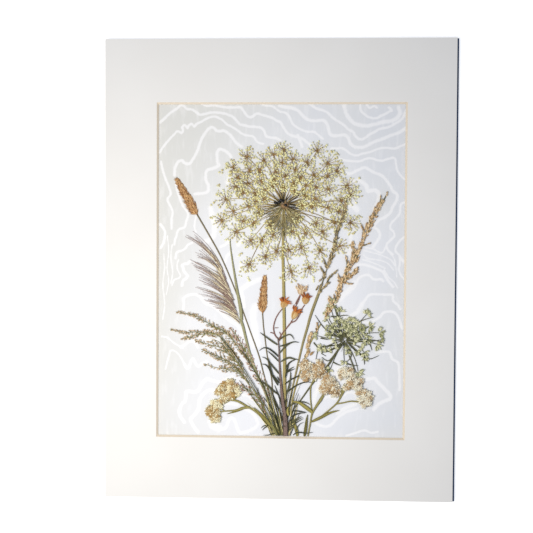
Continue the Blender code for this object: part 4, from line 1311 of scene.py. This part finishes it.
RIGHT_LEAVES = {
    1: [([(1, -61), (4, -58.5), (7, -57), (10, -56.2), (12.2, -57.8), (14, -61)], 1.3), ([(1.5, -66.5),
     (6, -65.4), (10, -63.8), (14, -62.6), (18.4, -63.2)], 1.5), ([(1.5, -72.5), (5, -68), (9, -65),
     (12, -63.4)], 1.3)],
    2: [([(2.5, -80), (7, -77.4), (10, -76.6), (14, -77.6), (18, -78.4)], 1.7), ([(6.6, -86), (9, -82),
     (12, -79.5), (16.4, -77.8)], 1.4), ([(6.5, -94), (8, -87), (9.6, -81)], 1.4), ([(7, -91), (10, -87),
     (14.2, -84.4)], 1.2), ([(7, -90), (10, -88.2), (14.8, -86.2)], 1.1)],
    3: [([(6, -100), (11, -96), (16, -93.5), (21, -91), (27.4, -89.8)], 1.2), ([(7, -110), (9, -104),
     (10.5, -97), (11, -91), (10.2, -87.5)], 1.6)],
    4: [([(7, -108), (11, -104.5), (16, -101), (21, -98.7), (26, -97.8), (30, -98.4)], 1.3)],
    5: [([(8, -121), (12, -117.8), (17, -115.8), (22, -115.3), (26, -116.5), (28.8, -118.2)], 1.4),
     ([(12, -124), (15, -123.3), (20, -123.8), (25.4, -124.8)], 1.2), ([(11, -129), (16, -126.4),
     (20, -125.3), (24.4, -125)], 1.2)],
    6: [([(12, -133), (16, -130.6), (20.6, -128)], 1.2), ([(11, -135), (16, -132), (22, -128.8)], 1.0),
     ([(10, -138), (14, -135.5), (18, -132.5), (22.4, -130)], 1.0), ([(9, -141.5), (12, -138.5),
     (15, -135.8)], 1.0), ([(16, -141.6), (17.5, -137.5), (19.5, -134.8), (22.8, -133.3)], 0.8),
     ([(13.4, -144.8), (16, -142.8), (20, -142.3), (25, -142.9), (31, -142)], 1.1)],
}
# Dark leaves that stand in the foot of the bunch
BASE_LEAVES = [
    [(5, -134), (-1, -118), (-7, -104)], [(6, -128), (2, -114), (-3, -101)],
    [(8, -132), (10, -117), (13, -104)], [(4, -140), (-4, -124), (-13, -111)],
    [(7, -138), (6, -122), (8, -108)], [(3, -143), (-2, -130), (-9, -121)],
    [(9, -142), (13, -130), (16, -121)],
]


class PRESSED_OT_leafy_stem(bpy.types.Operator):
    """Build the grey leafy stem and its narrow dark leaves."""
    bl_idname = "pressed.leafy_stem"
    bl_label = "Leafy Stem"

    def execute(self, context):
        random = np.random.default_rng(16)
        grey = plant_finish("leafy_stem_finish", (166, 142, 132), (74, 58, 52), edge_shade=0.85,
                            spot=(62, 52, 40))
        dark = plant_finish("dark_leaf_finish", (106, 106, 74), (40, 44, 28), edge_shade=0.3)
        level = height_of("leafy_stem")
        olive = plant_finish("base_blade_finish", (232, 220, 156), (34, 30, 18), edge_shade=0.35)
        count = 34
        roots = np.stack([random.uniform(-6, 11, count), np.full(count, CUT_END_Y)], axis=1)
        lean = random.normal(0, 0.14, count) - (6 - roots[:, 0]) * 0.035
        reach = random.uniform(14, 48, count)
        tips = roots + np.stack([np.sin(lean) * reach, np.cos(lean) * reach], axis=1)
        blades = arcs(raised(roots, level), raised(tips, level + random.uniform(0, 0.6, count)),
                      random.normal(0, 0.8, count), 12)
        widths = widths_along(12, [0, 0.4, 1], [0.8, 0.9, 0.25]) * random.uniform(0.6, 1.5, (count, 1))
        make_piece("base_blades", [
            sweep(blades, widths, np.full((1, 12), 0.5), leaf_section(0.45),
                  random.choice([0.0, 0.25, 1.0], count))], olive)
        make_piece("base_leaves", [leaf(places, 1.5, level - 0.1, 0.2) for places in BASE_LEAVES],
                   dark)
        make_piece("leafy_stem_stalk", [
            stem([(7, CUT_END_Y), (6.4, -130), (4.6, -118), (3, -104), (1.8, -91), (1, -78), (0.6, -68),
                  (-0.4, -59)], [4.8, 4.2, 3.5, 2.8, 2.1, 1.6, 1.3, 1.0], level + 0.5, thickness=0.4)],
            grey, ["leafy_stem"])
        for side, tufts in (("left", LEFT_LEAVES), ("right", RIGHT_LEAVES)):
            for number, leaves in tufts.items():
                node = f"leafy_stem_{side}_leaves_{number}"
                height = height_of(node)
                make_piece(node.replace("leaves", "blades"), [
                    leaf(places, width, height - 0.15 + 0.1 * (turn % 3), random.uniform(0.1, 0.7))
                    for turn, (places, width) in enumerate(leaves)], dark, [node])
        return {"FINISHED"}


# ---------------------------------------------------------------- orange flowers

# For each flower: stalk route, cup's base and mouth, cup width, and the lobes' reach and spread
ORANGE_FLOWERS = {
    "a": ([(-0.4, -60), (-3, -56.5), (-4.2, -50), (-2.6, -43), (0, -38), (3.4, -33.5)], (3.4, -32.8),
     (6.0, -27.0), 4.6, 4.6, 1.2),
    "b": ([(15, -29.5), (16.5, -26), (19, -21.4)], (19.2, -21), (20.2, -16.4), 4.8, 5.4, 0.95),
    "c": ([(8, -49.5), (11, -46), (15, -44), (18.4, -39), (20.4, -34), (23, -30)], (23.2, -29.4),
     (24.2, -23), 4.6, 4.2, 1.1),
    "d": ([(0.4, -61), (3, -56), (7, -51), (10, -47), (12.4, -43)], (12.4, -42.6), (15.8, -35.6), 3.8, 5.2,
     0.95),
}


def flower_cup(random, base, mouth, width, height):
    """A narrow cup of overlapping sepals from its base to its mouth, each a folded leaf."""
    count = 8
    base, mouth = np.asarray(base, float), np.asarray(mouth, float)
    run = mouth - base
    side = rightward(run) / np.linalg.norm(run)
    fan = np.linspace(-1, 1, count)
    starts = raised(base + side * fan[:, None] * 0.5, height)
    ends = raised(mouth + side * (fan * width / 2)[:, None], height + 0.6 * (1 - fan ** 2))
    widths = widths_along(9, [0, 0.3, 0.75, 1.0], [0.6, 1.3, 1.7, 0.7])
    return sweep(arcs(starts, ends, -fan * 0.9, 9), widths, np.full((1, 9), 0.35), leaf_section(0.5),
                 random.uniform(0, 1, count))


def ragged_lobes(random, base, mouth, width, reach, spread, height):
    """Curled lobes that splay from the cup's mouth, each a short folded leaf."""
    count = 14
    base, mouth = np.asarray(base, float), np.asarray(mouth, float)
    run = mouth - base
    heading = math.atan2(run[1], run[0])
    fan = np.linspace(-1, 1, count) + random.normal(0, 0.12, count)
    side = rightward(run) / np.linalg.norm(run)
    starts = raised(mouth - run * 0.12 + side * (fan * width * 0.4)[:, None],
                    height + random.uniform(0.1, 0.8, count))
    angle = heading - fan * spread
    length = reach * random.uniform(0.45, 1.3, count)
    ends = starts + np.stack([np.cos(angle) * length, np.sin(angle) * length,
                              random.uniform(0, 0.5, count)], axis=1)
    widths = widths_along(8, [0, 0.4, 0.75, 1.0], [0.7, 1.15, 1.0, 0.25])
    widths = widths * random.uniform(0.7, 1.25, (count, 1))
    return sweep(arcs(starts, ends, random.normal(0, 0.7, count), 8), widths, np.full((1, 8), 0.4),
                 leaf_section(0.6), random.uniform(0, 1, count))


class PRESSED_OT_orange_flowers(bpy.types.Operator):
    """Build the four dried orange flowers and their thin stalks."""
    bl_idname = "pressed.orange_flowers"
    bl_label = "Orange Flowers"

    def execute(self, context):
        random = np.random.default_rng(17)
        stalk = plant_finish("red_stalk_finish", (170, 128, 114), (96, 62, 52), edge_shade=0.5)
        rust = plant_finish("orange_lobe_finish", (210, 126, 58), (116, 52, 18), edge_shade=0.4)
        cup = plant_finish("gold_cup_finish", (250, 222, 164), (186, 140, 78), tip=(216, 156, 88),
                           edge_shade=0.5)
        beige = plant_finish("beige_lobe_finish", (250, 230, 196), (196, 156, 112))
        for letter, (route, base, mouth, width, reach, spread) in ORANGE_FLOWERS.items():
            height = height_of(f"orange_flower_head_{letter}") - 0.2
            make_piece(f"orange_flower_{letter}_stem", [
                stem(route, [1.2, 1.0, 0.9], height_of(f"orange_flower_stalk_{letter}"))],
                stalk, [f"orange_flower_stalk_{letter}"])
            make_piece(f"orange_flower_{letter}_cup", [flower_cup(random, base, mouth, width, height)],
                       beige if letter == "b" else cup, [f"orange_flower_head_{letter}"])
            make_piece(f"orange_flower_{letter}_lobes", [
                ragged_lobes(random, base, mouth, width, reach, spread, height)],
                beige if letter == "b" else rust)
        low = height_of("orange_flower_stalk_a")
        make_piece("orange_flower_twigs", [
            stem([(-3, -50.5), (0, -50.4)], [0.8, 0.5], low),
            stem([(-7, -54.5), (-4, -55.5), (-2, -58)], [0.9, 0.7], low),
            stem([(1, -54), (2.5, -58), (1, -62)], [0.8, 0.7], low),
            stem([(19, -22), (17.4, -27), (15.6, -30.6), (14.4, -33)], [0.8, 0.7],
                 height_of("orange_flower_stalk_b")),
            stem([(19.6, -36.6), (20.6, -35.4)], [2.0, 1.4], height_of("orange_flower_stalk_c"))],
            stalk)
        return {"FINISHED"}


# ---------------------------------------------------------------- docks

# Runs of husks: route, half width and number of husks
GREEN_DOCK_SPIKE = [
    ([(37, -14), (39.6, -6), (42.6, 3)], 1.3, 16), ([(42.6, 3), (46, 12), (49, 21)], 1.9, 56),
    ([(49, 21), (52, 38), (55.6, 46), (58.6, 62)], 1.8, 95),
    ([(42, 3), (40.5, 7), (39, 9.5)], 0.8, 8), ([(39, -3), (38.6, 0), (36.6, 3)], 0.8, 6),
    ([(36, -19), (40, -14), (44, -11)], 0.9, 14), ([(42, -11), (44, -7), (50, -0.4)], 1.0, 18),
    ([(34.6, -14), (33.4, -16)], 0.8, 5), ([(37, -7.6), (36, -8.6)], 0.6, 4),
]
RUST_DOCK_SPIKE = [
    ([(44, -35), (50, -24), (55.6, -11), (61.6, 4), (70, 20), (74.6, 30)], 2.4, 190),
    ([(74.6, 30), (78.6, 40), (84, 50), (87, 57), (90, 61)], 2.7, 125),
    ([(89, 58), (91.6, 63), (94.6, 68.6)], 1.1, 12), ([(87.6, 57), (88, 61), (88.4, 64.6)], 1.1, 9),
    ([(75, 31), (73.4, 35), (72, 39)], 1.0, 10), ([(72, 22), (75, 22.5), (78.6, 24)], 0.7, 7),
    ([(64.6, 10), (65, 17), (64.4, 24.6)], 1.9, 30), ([(66, 7), (68.6, 13), (70.4, 20)], 1.9, 30),
    ([(60, 0), (59.6, 6), (59, 12.6)], 0.9, 12), ([(59, -7), (64, -3), (69.6, 3.4)], 1.9, 34),
    ([(60, -5), (66, -2), (69, -0.4)], 1.2, 14), ([(57, -10), (60, -11), (63.4, -11.6)], 0.9, 8),
    ([(54.6, -12), (53, -8), (52, -3.6)], 1.2, 15),
    ([(46, -33), (44.6, -28), (44, -22.6)], 1.6, 13),
    ([(41, -41), (42.6, -37), (43, -32)], 1.8, 22),
    ([(33.4, -53), (34.4, -49), (34, -46.6)], 1.2, 10),
    ([(27, -61), (28, -57), (28.6, -53.4)], 1.9, 22),
    ([(25, -67), (26, -65), (26.6, -62.6)], 1.8, 16),
    ([(24.4, -75), (26, -71.4), (26.6, -69.4)], 1.8, 15),
    ([(29, -73), (30, -71.6)], 0.9, 4), ([(80, 44), (78.6, 46.6)], 0.9, 6),
]


def seed_spike(random, runs, height):
    """Pointed husks crowded in whorls along each run, leaning up it and out from it. Returns the
    husks and the fine axes that carry them."""
    stops = 80
    husks, axes = [], []
    for places, spread, count in runs:
        axis, run = spine(places, stops)
        whorls = max(1.0, count / 9)
        share = np.clip(np.round(random.uniform(0, 1, count) * whorls) / whorls
                        + random.normal(0, 0.3 / whorls, count), 0, 1)
        index = (share * (stops - 1)).astype(int)
        side = random.uniform(-1, 1, count)
        taper = np.interp(share, [0, 0.1, 0.7, 1], [0.8, 1, 0.95, 0.35])
        spots = axis[index] + rightward(run[index]) * (side * spread * taper)[:, None]
        turns = np.arctan2(run[index, 1], run[index, 0]) - side * 0.42 + random.normal(0, 0.16, count)
        sizes = np.stack([random.uniform(2.6, 4.6, count), random.uniform(0.95, 1.45, count),
                          random.uniform(0.7, 1.1, count)], axis=1)
        husks.append(stamp(SPIKELET, raised(spots, height + (1 - np.abs(side)) * 0.6), sizes, turns,
                           random.uniform(0, 1, count), random.normal(0.05, 0.1, count), along_axis=True))
        axes.append(stem(places, [1.2, 1.0, 0.7], height, tone=random.uniform(0, 1)))
    return husks, axes


class PRESSED_OT_docks(bpy.types.Operator):
    """Build the grey-green and the rust seed spikes and their stems."""
    bl_idname = "pressed.docks"
    bl_label = "Dock Spikes"

    def execute(self, context):
        random = np.random.default_rng(18)
        # rim is the colour of the painted shade on the stems' right side
        stalk = plant_finish("dock_stem_finish", (182, 168, 124), (116, 108, 70), edge_shade=0.8,
                             rim=(88, 94, 62))
        gold = plant_finish("dock_gold_finish", (204, 186, 116), (132, 120, 58), edge_shade=0.6)
        green = plant_finish("green_dock_finish", (214, 192, 148), (112, 100, 64), edge_shade=0.5,
                             spot=(92, 92, 66))
        rust = plant_finish("rust_dock_finish", (255, 230, 186), (170, 130, 80), edge_shade=0.5,
                            spot=(122, 108, 56))
        axis = plant_finish("dock_axis_finish", (150, 140, 100), (88, 86, 56), edge_shade=0.5)
        make_piece("green_dock_stalk", [
            stem([(9.4, -125), (10.6, -114), (13, -102), (15.4, -91), (19, -75), (22, -62), (25.4, -50),
                  (28, -40), (31.4, -30), (35, -20), (37.4, -12)],
                 [1.5, 1.5, 1.5, 1.6, 1.7, 1.9, 2.1, 2.3, 2.6, 2.5, 2.0],
                 height_of("green_dock_stem"), thickness=0.55)], stalk, ["green_dock_stem"])
        make_piece("rust_dock_stalk", [
            stem([(11, -128), (13, -113), (16.6, -98), (19.6, -88), (24, -76), (27, -66), (32, -56),
                  (37, -47)], [1.3, 1.3, 1.4, 1.4, 1.4, 1.3, 1.2, 1.2], height_of("rust_dock_stem"))],
            gold, ["rust_dock_stem"])
        for name, runs, finish in (("green_dock", GREEN_DOCK_SPIKE, green),
                                   ("rust_dock", RUST_DOCK_SPIKE, rust)):
            husks, axes = seed_spike(random, runs, height_of(f"{name}_spike") + 0.7)
            slot = name.split("_")[0] + "_seed"
            make_piece(f"{name}_husks", husks, finish, [f"{name}_spike"])
            make_piece(f"{name}_axes", axes, axis)
        return {"FINISHED"}


# ---------------------------------------------------------------- young umbel

YOUNG_HUB = (58, -60.6)
# Heads of the young umbel: ray's end, the way it points in degrees, reach, and number of buds
YOUNG_HEADS = [
    ((53.6, -36), 95, 5.5, 15), ((77, -38), 60, 5.4, 17), ((79, -49), 0, 6.0, 15), ((88, -54), 10, 6.4, 17),
    ((86, -64), -20, 6.0, 16), ((75, -71), -60, 5.4, 15), ((76.4, -76), -70, 4.0, 10),
    ((63, -45), 80, 6.2, 18), ((71.5, -54), 20, 5.6, 16), ((78, -60), -10, 5.2, 14),
    ((62, -51), 70, 5.6, 18), ((68, -58), 0, 5.0, 15), ((74, -62), -20, 4.4, 12), ((52, -44), 110, 5.2, 15),
    ((42.6, -43), 130, 4.6, 13), ((34, -57), 170, 5.0, 14), ((47, -57), 160, 4.0, 11),
    ((38, -68), 190, 5.0, 14), ((46.4, -69), 200, 3.8, 10), ((58, -79), 260, 4.6, 12),
    ((46, -86), 230, 4.0, 11), ((70, -88), -50, 6.0, 16), ((69, -70), -60, 4.6, 13),
    ((61, -70), -90, 3.8, 10), ((49, -48), 120, 3.8, 10), ((66, -50), 40, 4.6, 14),
    ((70, -48), 50, 4.4, 12), ((57, -51), 100, 4.6, 13), ((75, -57), 20, 4.0, 10), ((44, -56), 150, 3.6, 9),
    ((61, -54), 80, 5.6, 16), ((65, -55), 40, 5.6, 16), ((54, -56), 120, 3.6, 9), ((66, -61), -10, 4.4, 12),
    ((62, -58), 60, 4.0, 10), ((60, -66), -80, 3.6, 8), ((52, -66), 200, 3.4, 8), ((42, -68), 190, 4.0, 10),
    ((50, -52), 130, 4.4, 12), ((56, -46), 90, 4.8, 14), ((47, -50), 150, 4.0, 11),
    ((66, -44), 60, 4.6, 12), ((43, -50), 160, 3.6, 9), ((74, -50), 30, 4.6, 12), ((60, -48), 90, 4.6, 13),
    ((50, -61), 180, 3.6, 9), ((72, -66), -30, 4.0, 10), ((90, -60), 0, 4.0, 9), ((46, -33), 95, 5.6, 15),
    ((47.6, -27.6), 80, 4.4, 10), ((42, -37), 120, 3.6, 8),
]
YOUNG_UMBELLETS = [head[0] for head in YOUNG_HEADS]
# Long dark bracts that lie over the heads
YOUNG_BRACTS = [
    [(57, -61), (48, -55), (40, -50), (32, -39)], [(60, -60), (67, -48), (74, -43), (83, -40.5)],
    [(60, -61), (72, -60), (84, -60.6), (93, -63)], [(62, -64), (70, -72), (79, -77), (88, -74)],
    [(56, -65), (45, -66), (36, -68), (33, -78)], [(50, -73), (44, -79), (38, -76)],
    [(48, -80), (52, -82), (55, -83)], [(58, -80), (64, -82.4), (70, -83)],
    [(76, -60), (80, -64), (82, -69.4)], [(60, -66), (64, -74), (60, -80)],
    [(62, -74), (67, -86), (70, -93)], [(64, -84), (67, -90)], [(55, -64), (46, -70), (38, -72), (42, -75)],
    [(46, -40), (52, -40), (57, -39), (61, -39)], [(50, -30), (51, -36), (54, -44), (55, -52)],
    [(37, -59), (44, -60.5)], [(75, -74), (75.6, -82)], [(44, -83), (43, -87), (44.6, -91)],
    [(31, -63), (36, -69)],
]


class PRESSED_OT_young_umbel(bpy.types.Operator):
    """Build the half-open green umbel with its rays, buds and dark bracts."""
    bl_idname = "pressed.young_umbel"
    bl_label = "Young Umbel"

    def execute(self, context):
        random = np.random.default_rng(19)
        dark = plant_finish("young_umbel_stem_finish", (124, 122, 84), (50, 54, 34), edge_shade=0.3)
        sage = plant_finish("young_umbel_bud_finish", (246, 244, 202), (142, 146, 96),
                            spot=(96, 104, 58), edge_shade=0.5)
        make_piece("young_umbel_stalk", [
            stem([(9, -140), (12, -127), (15, -120), (20.6, -113), (29, -101), (37, -91), (44, -82.5),
                  (50, -73), (57, -63)], [1.4, 1.3, 1.2, 1.3, 1.4, 1.6, 1.9, 1.8, 1.8],
                 height_of("young_umbel_stem"))],
            dark, ["young_umbel_stem"])
        height = height_of("young_umbel") - 0.2
        bracts = [stem(places, [1.1, 1.1, 0.8, 0.4], height + 0.2, random.uniform(0, 0.6))
                  for places in YOUNG_BRACTS]
        bracts.append(spokes(random, YOUNG_HUB, 16, 0, 6.0, (0.5, 2), (5, 11), 0.6, height + 0.2))
        make_piece("young_umbel_rays", [
            umbel_rays(random, YOUNG_HUB, YOUNG_UMBELLETS, height, 0.75, 0.5)] + bracts, dark)
        buds = []
        for centre, outward, reach, count in YOUNG_HEADS:
            turn = math.radians(outward) + np.linspace(-1, 1, count) * 1.45 + random.normal(0, 0.15, count)
            distance = reach * random.uniform(0.5, 1.1, count)
            spots = np.asarray(centre, float) + headings(turn) * (distance * 0.62)[:, None]
            sizes = np.stack([distance * 0.7 + 1.0, random.uniform(1.0, 1.6, count),
                              random.uniform(0.7, 1.1, count)], axis=1)
            buds.append(stamp(SPIKELET, raised(spots, height + random.uniform(0.3, 0.9, count)), sizes, turn,
                              random.uniform(0, 1, count), random.normal(0.05, 0.12, count), along_axis=True))
        make_piece("young_umbel_buds", buds, sage, ["young_umbel"])
        return {"FINISHED"}


# ---------------------------------------------------------------- stage

class PRESSED_OT_stage(bpy.types.Operator):
    """Lay a plain pale floor and set the soft lights and the camera."""
    bl_idname = "pressed.stage"
    bl_label = "Floor, Lights and Camera"

    def execute(self, context):
        settings = context.scene.pressed_stage
        scene = context.scene
        half = 3.0
        level = CAD_LOW.z - 0.0002
        corners = [(-half, -half, level), (half, -half, level), (half, half, level), (-half, half, level)]
        mesh = bpy.data.meshes.new("floor")
        mesh.from_pydata(corners, [], [(0, 1, 2, 3)])
        finish = Finish("floor_finish", 0.95, specular=0.1)
        finish.paint(settings.floor_colour[:])
        finish.shader.inputs["Emission Color"].default_value = (1.0, 1.0, 1.0, 1.0)
        finish.shader.inputs["Emission Strength"].default_value = 0.6
        mesh.materials.append(finish.material)
        floor = bpy.data.objects.new("floor", mesh)
        scene.collection.objects.link(floor)
        world = bpy.data.worlds.new("pale_room")
        world.use_nodes = True
        background = world.node_tree.nodes["Background"]
        background.inputs["Color"].default_value = (0.9, 0.96, 1.1, 1.0)
        background.inputs["Strength"].default_value = settings.fill_strength
        scene.world = world
        key = bpy.data.lights.new("key", "AREA")
        key.shape = "DISK"
        key.size = 0.3
        key.energy = settings.key_power
        key.color = (1.0, 0.935, 0.84)
        lamp = bpy.data.objects.new("key", key)
        lamp.location = (-0.21, -0.092, 0.484)
        aim = -lamp.location.copy()
        lamp.rotation_euler = aim.to_track_quat("-Z", "Y").to_euler()
        scene.collection.objects.link(lamp)
        view = bpy.data.cameras.new("view")
        view.sensor_width = 36.0
        view.lens = settings.lens
        camera = bpy.data.objects.new("view", view)
        camera.location = (0.01381, 0.0203, 0.7)
        camera.rotation_euler = (math.radians(-1.385), math.radians(2.104), math.radians(0.31))
        scene.collection.objects.link(camera)
        scene.camera = camera
        scene.view_settings.view_transform = "Standard"
        return {"FINISHED"}


# ---------------------------------------------------------------- the add-on

OPERATORS = (PRESSED_OT_stage, PRESSED_OT_mount, PRESSED_OT_wild_carrot, PRESSED_OT_canary_grasses,
             PRESSED_OT_foxtail_barley, PRESSED_OT_panicle_grasses, PRESSED_OT_everlastings,
             PRESSED_OT_leafy_stem, PRESSED_OT_orange_flowers, PRESSED_OT_docks, PRESSED_OT_young_umbel)


class PRESSED_PT_panel(bpy.types.Panel):
    """Lists the picture's pieces in the 3D view's sidebar."""
    bl_idname = "PRESSED_PT_panel"
    bl_label = "Pressed Flowers"
    bl_space_type = "VIEW_3D"
    bl_region_type = "UI"
    bl_category = "Pressed Flowers"

    def draw(self, context):
        scene = context.scene
        for group in (scene.pressed_mount, scene.pressed_plants, scene.pressed_stage):
            box = self.layout.box()
            for name in group.__annotations__:
                box.prop(group, name)
        for operator in OPERATORS:
            self.layout.operator(operator.bl_idname)


CLASSES = (MountSettings, PlantSettings, StageSettings, *OPERATORS, PRESSED_PT_panel)


def register():
    for item in CLASSES:
        bpy.utils.register_class(item)
    bpy.types.Scene.pressed_mount = PointerProperty(type=MountSettings)
    bpy.types.Scene.pressed_plants = PointerProperty(type=PlantSettings)
    bpy.types.Scene.pressed_stage = PointerProperty(type=StageSettings)


def unregister():
    for name in ("pressed_mount", "pressed_plants", "pressed_stage"):
        delattr(bpy.types.Scene, name)
    for item in reversed(CLASSES):
        bpy.utils.unregister_class(item)


def main():
    register()
    for operator in OPERATORS:
        group, name = operator.bl_idname.split(".")
        getattr(getattr(bpy.ops, group), name)()


if __name__ == "__main__":
    main()
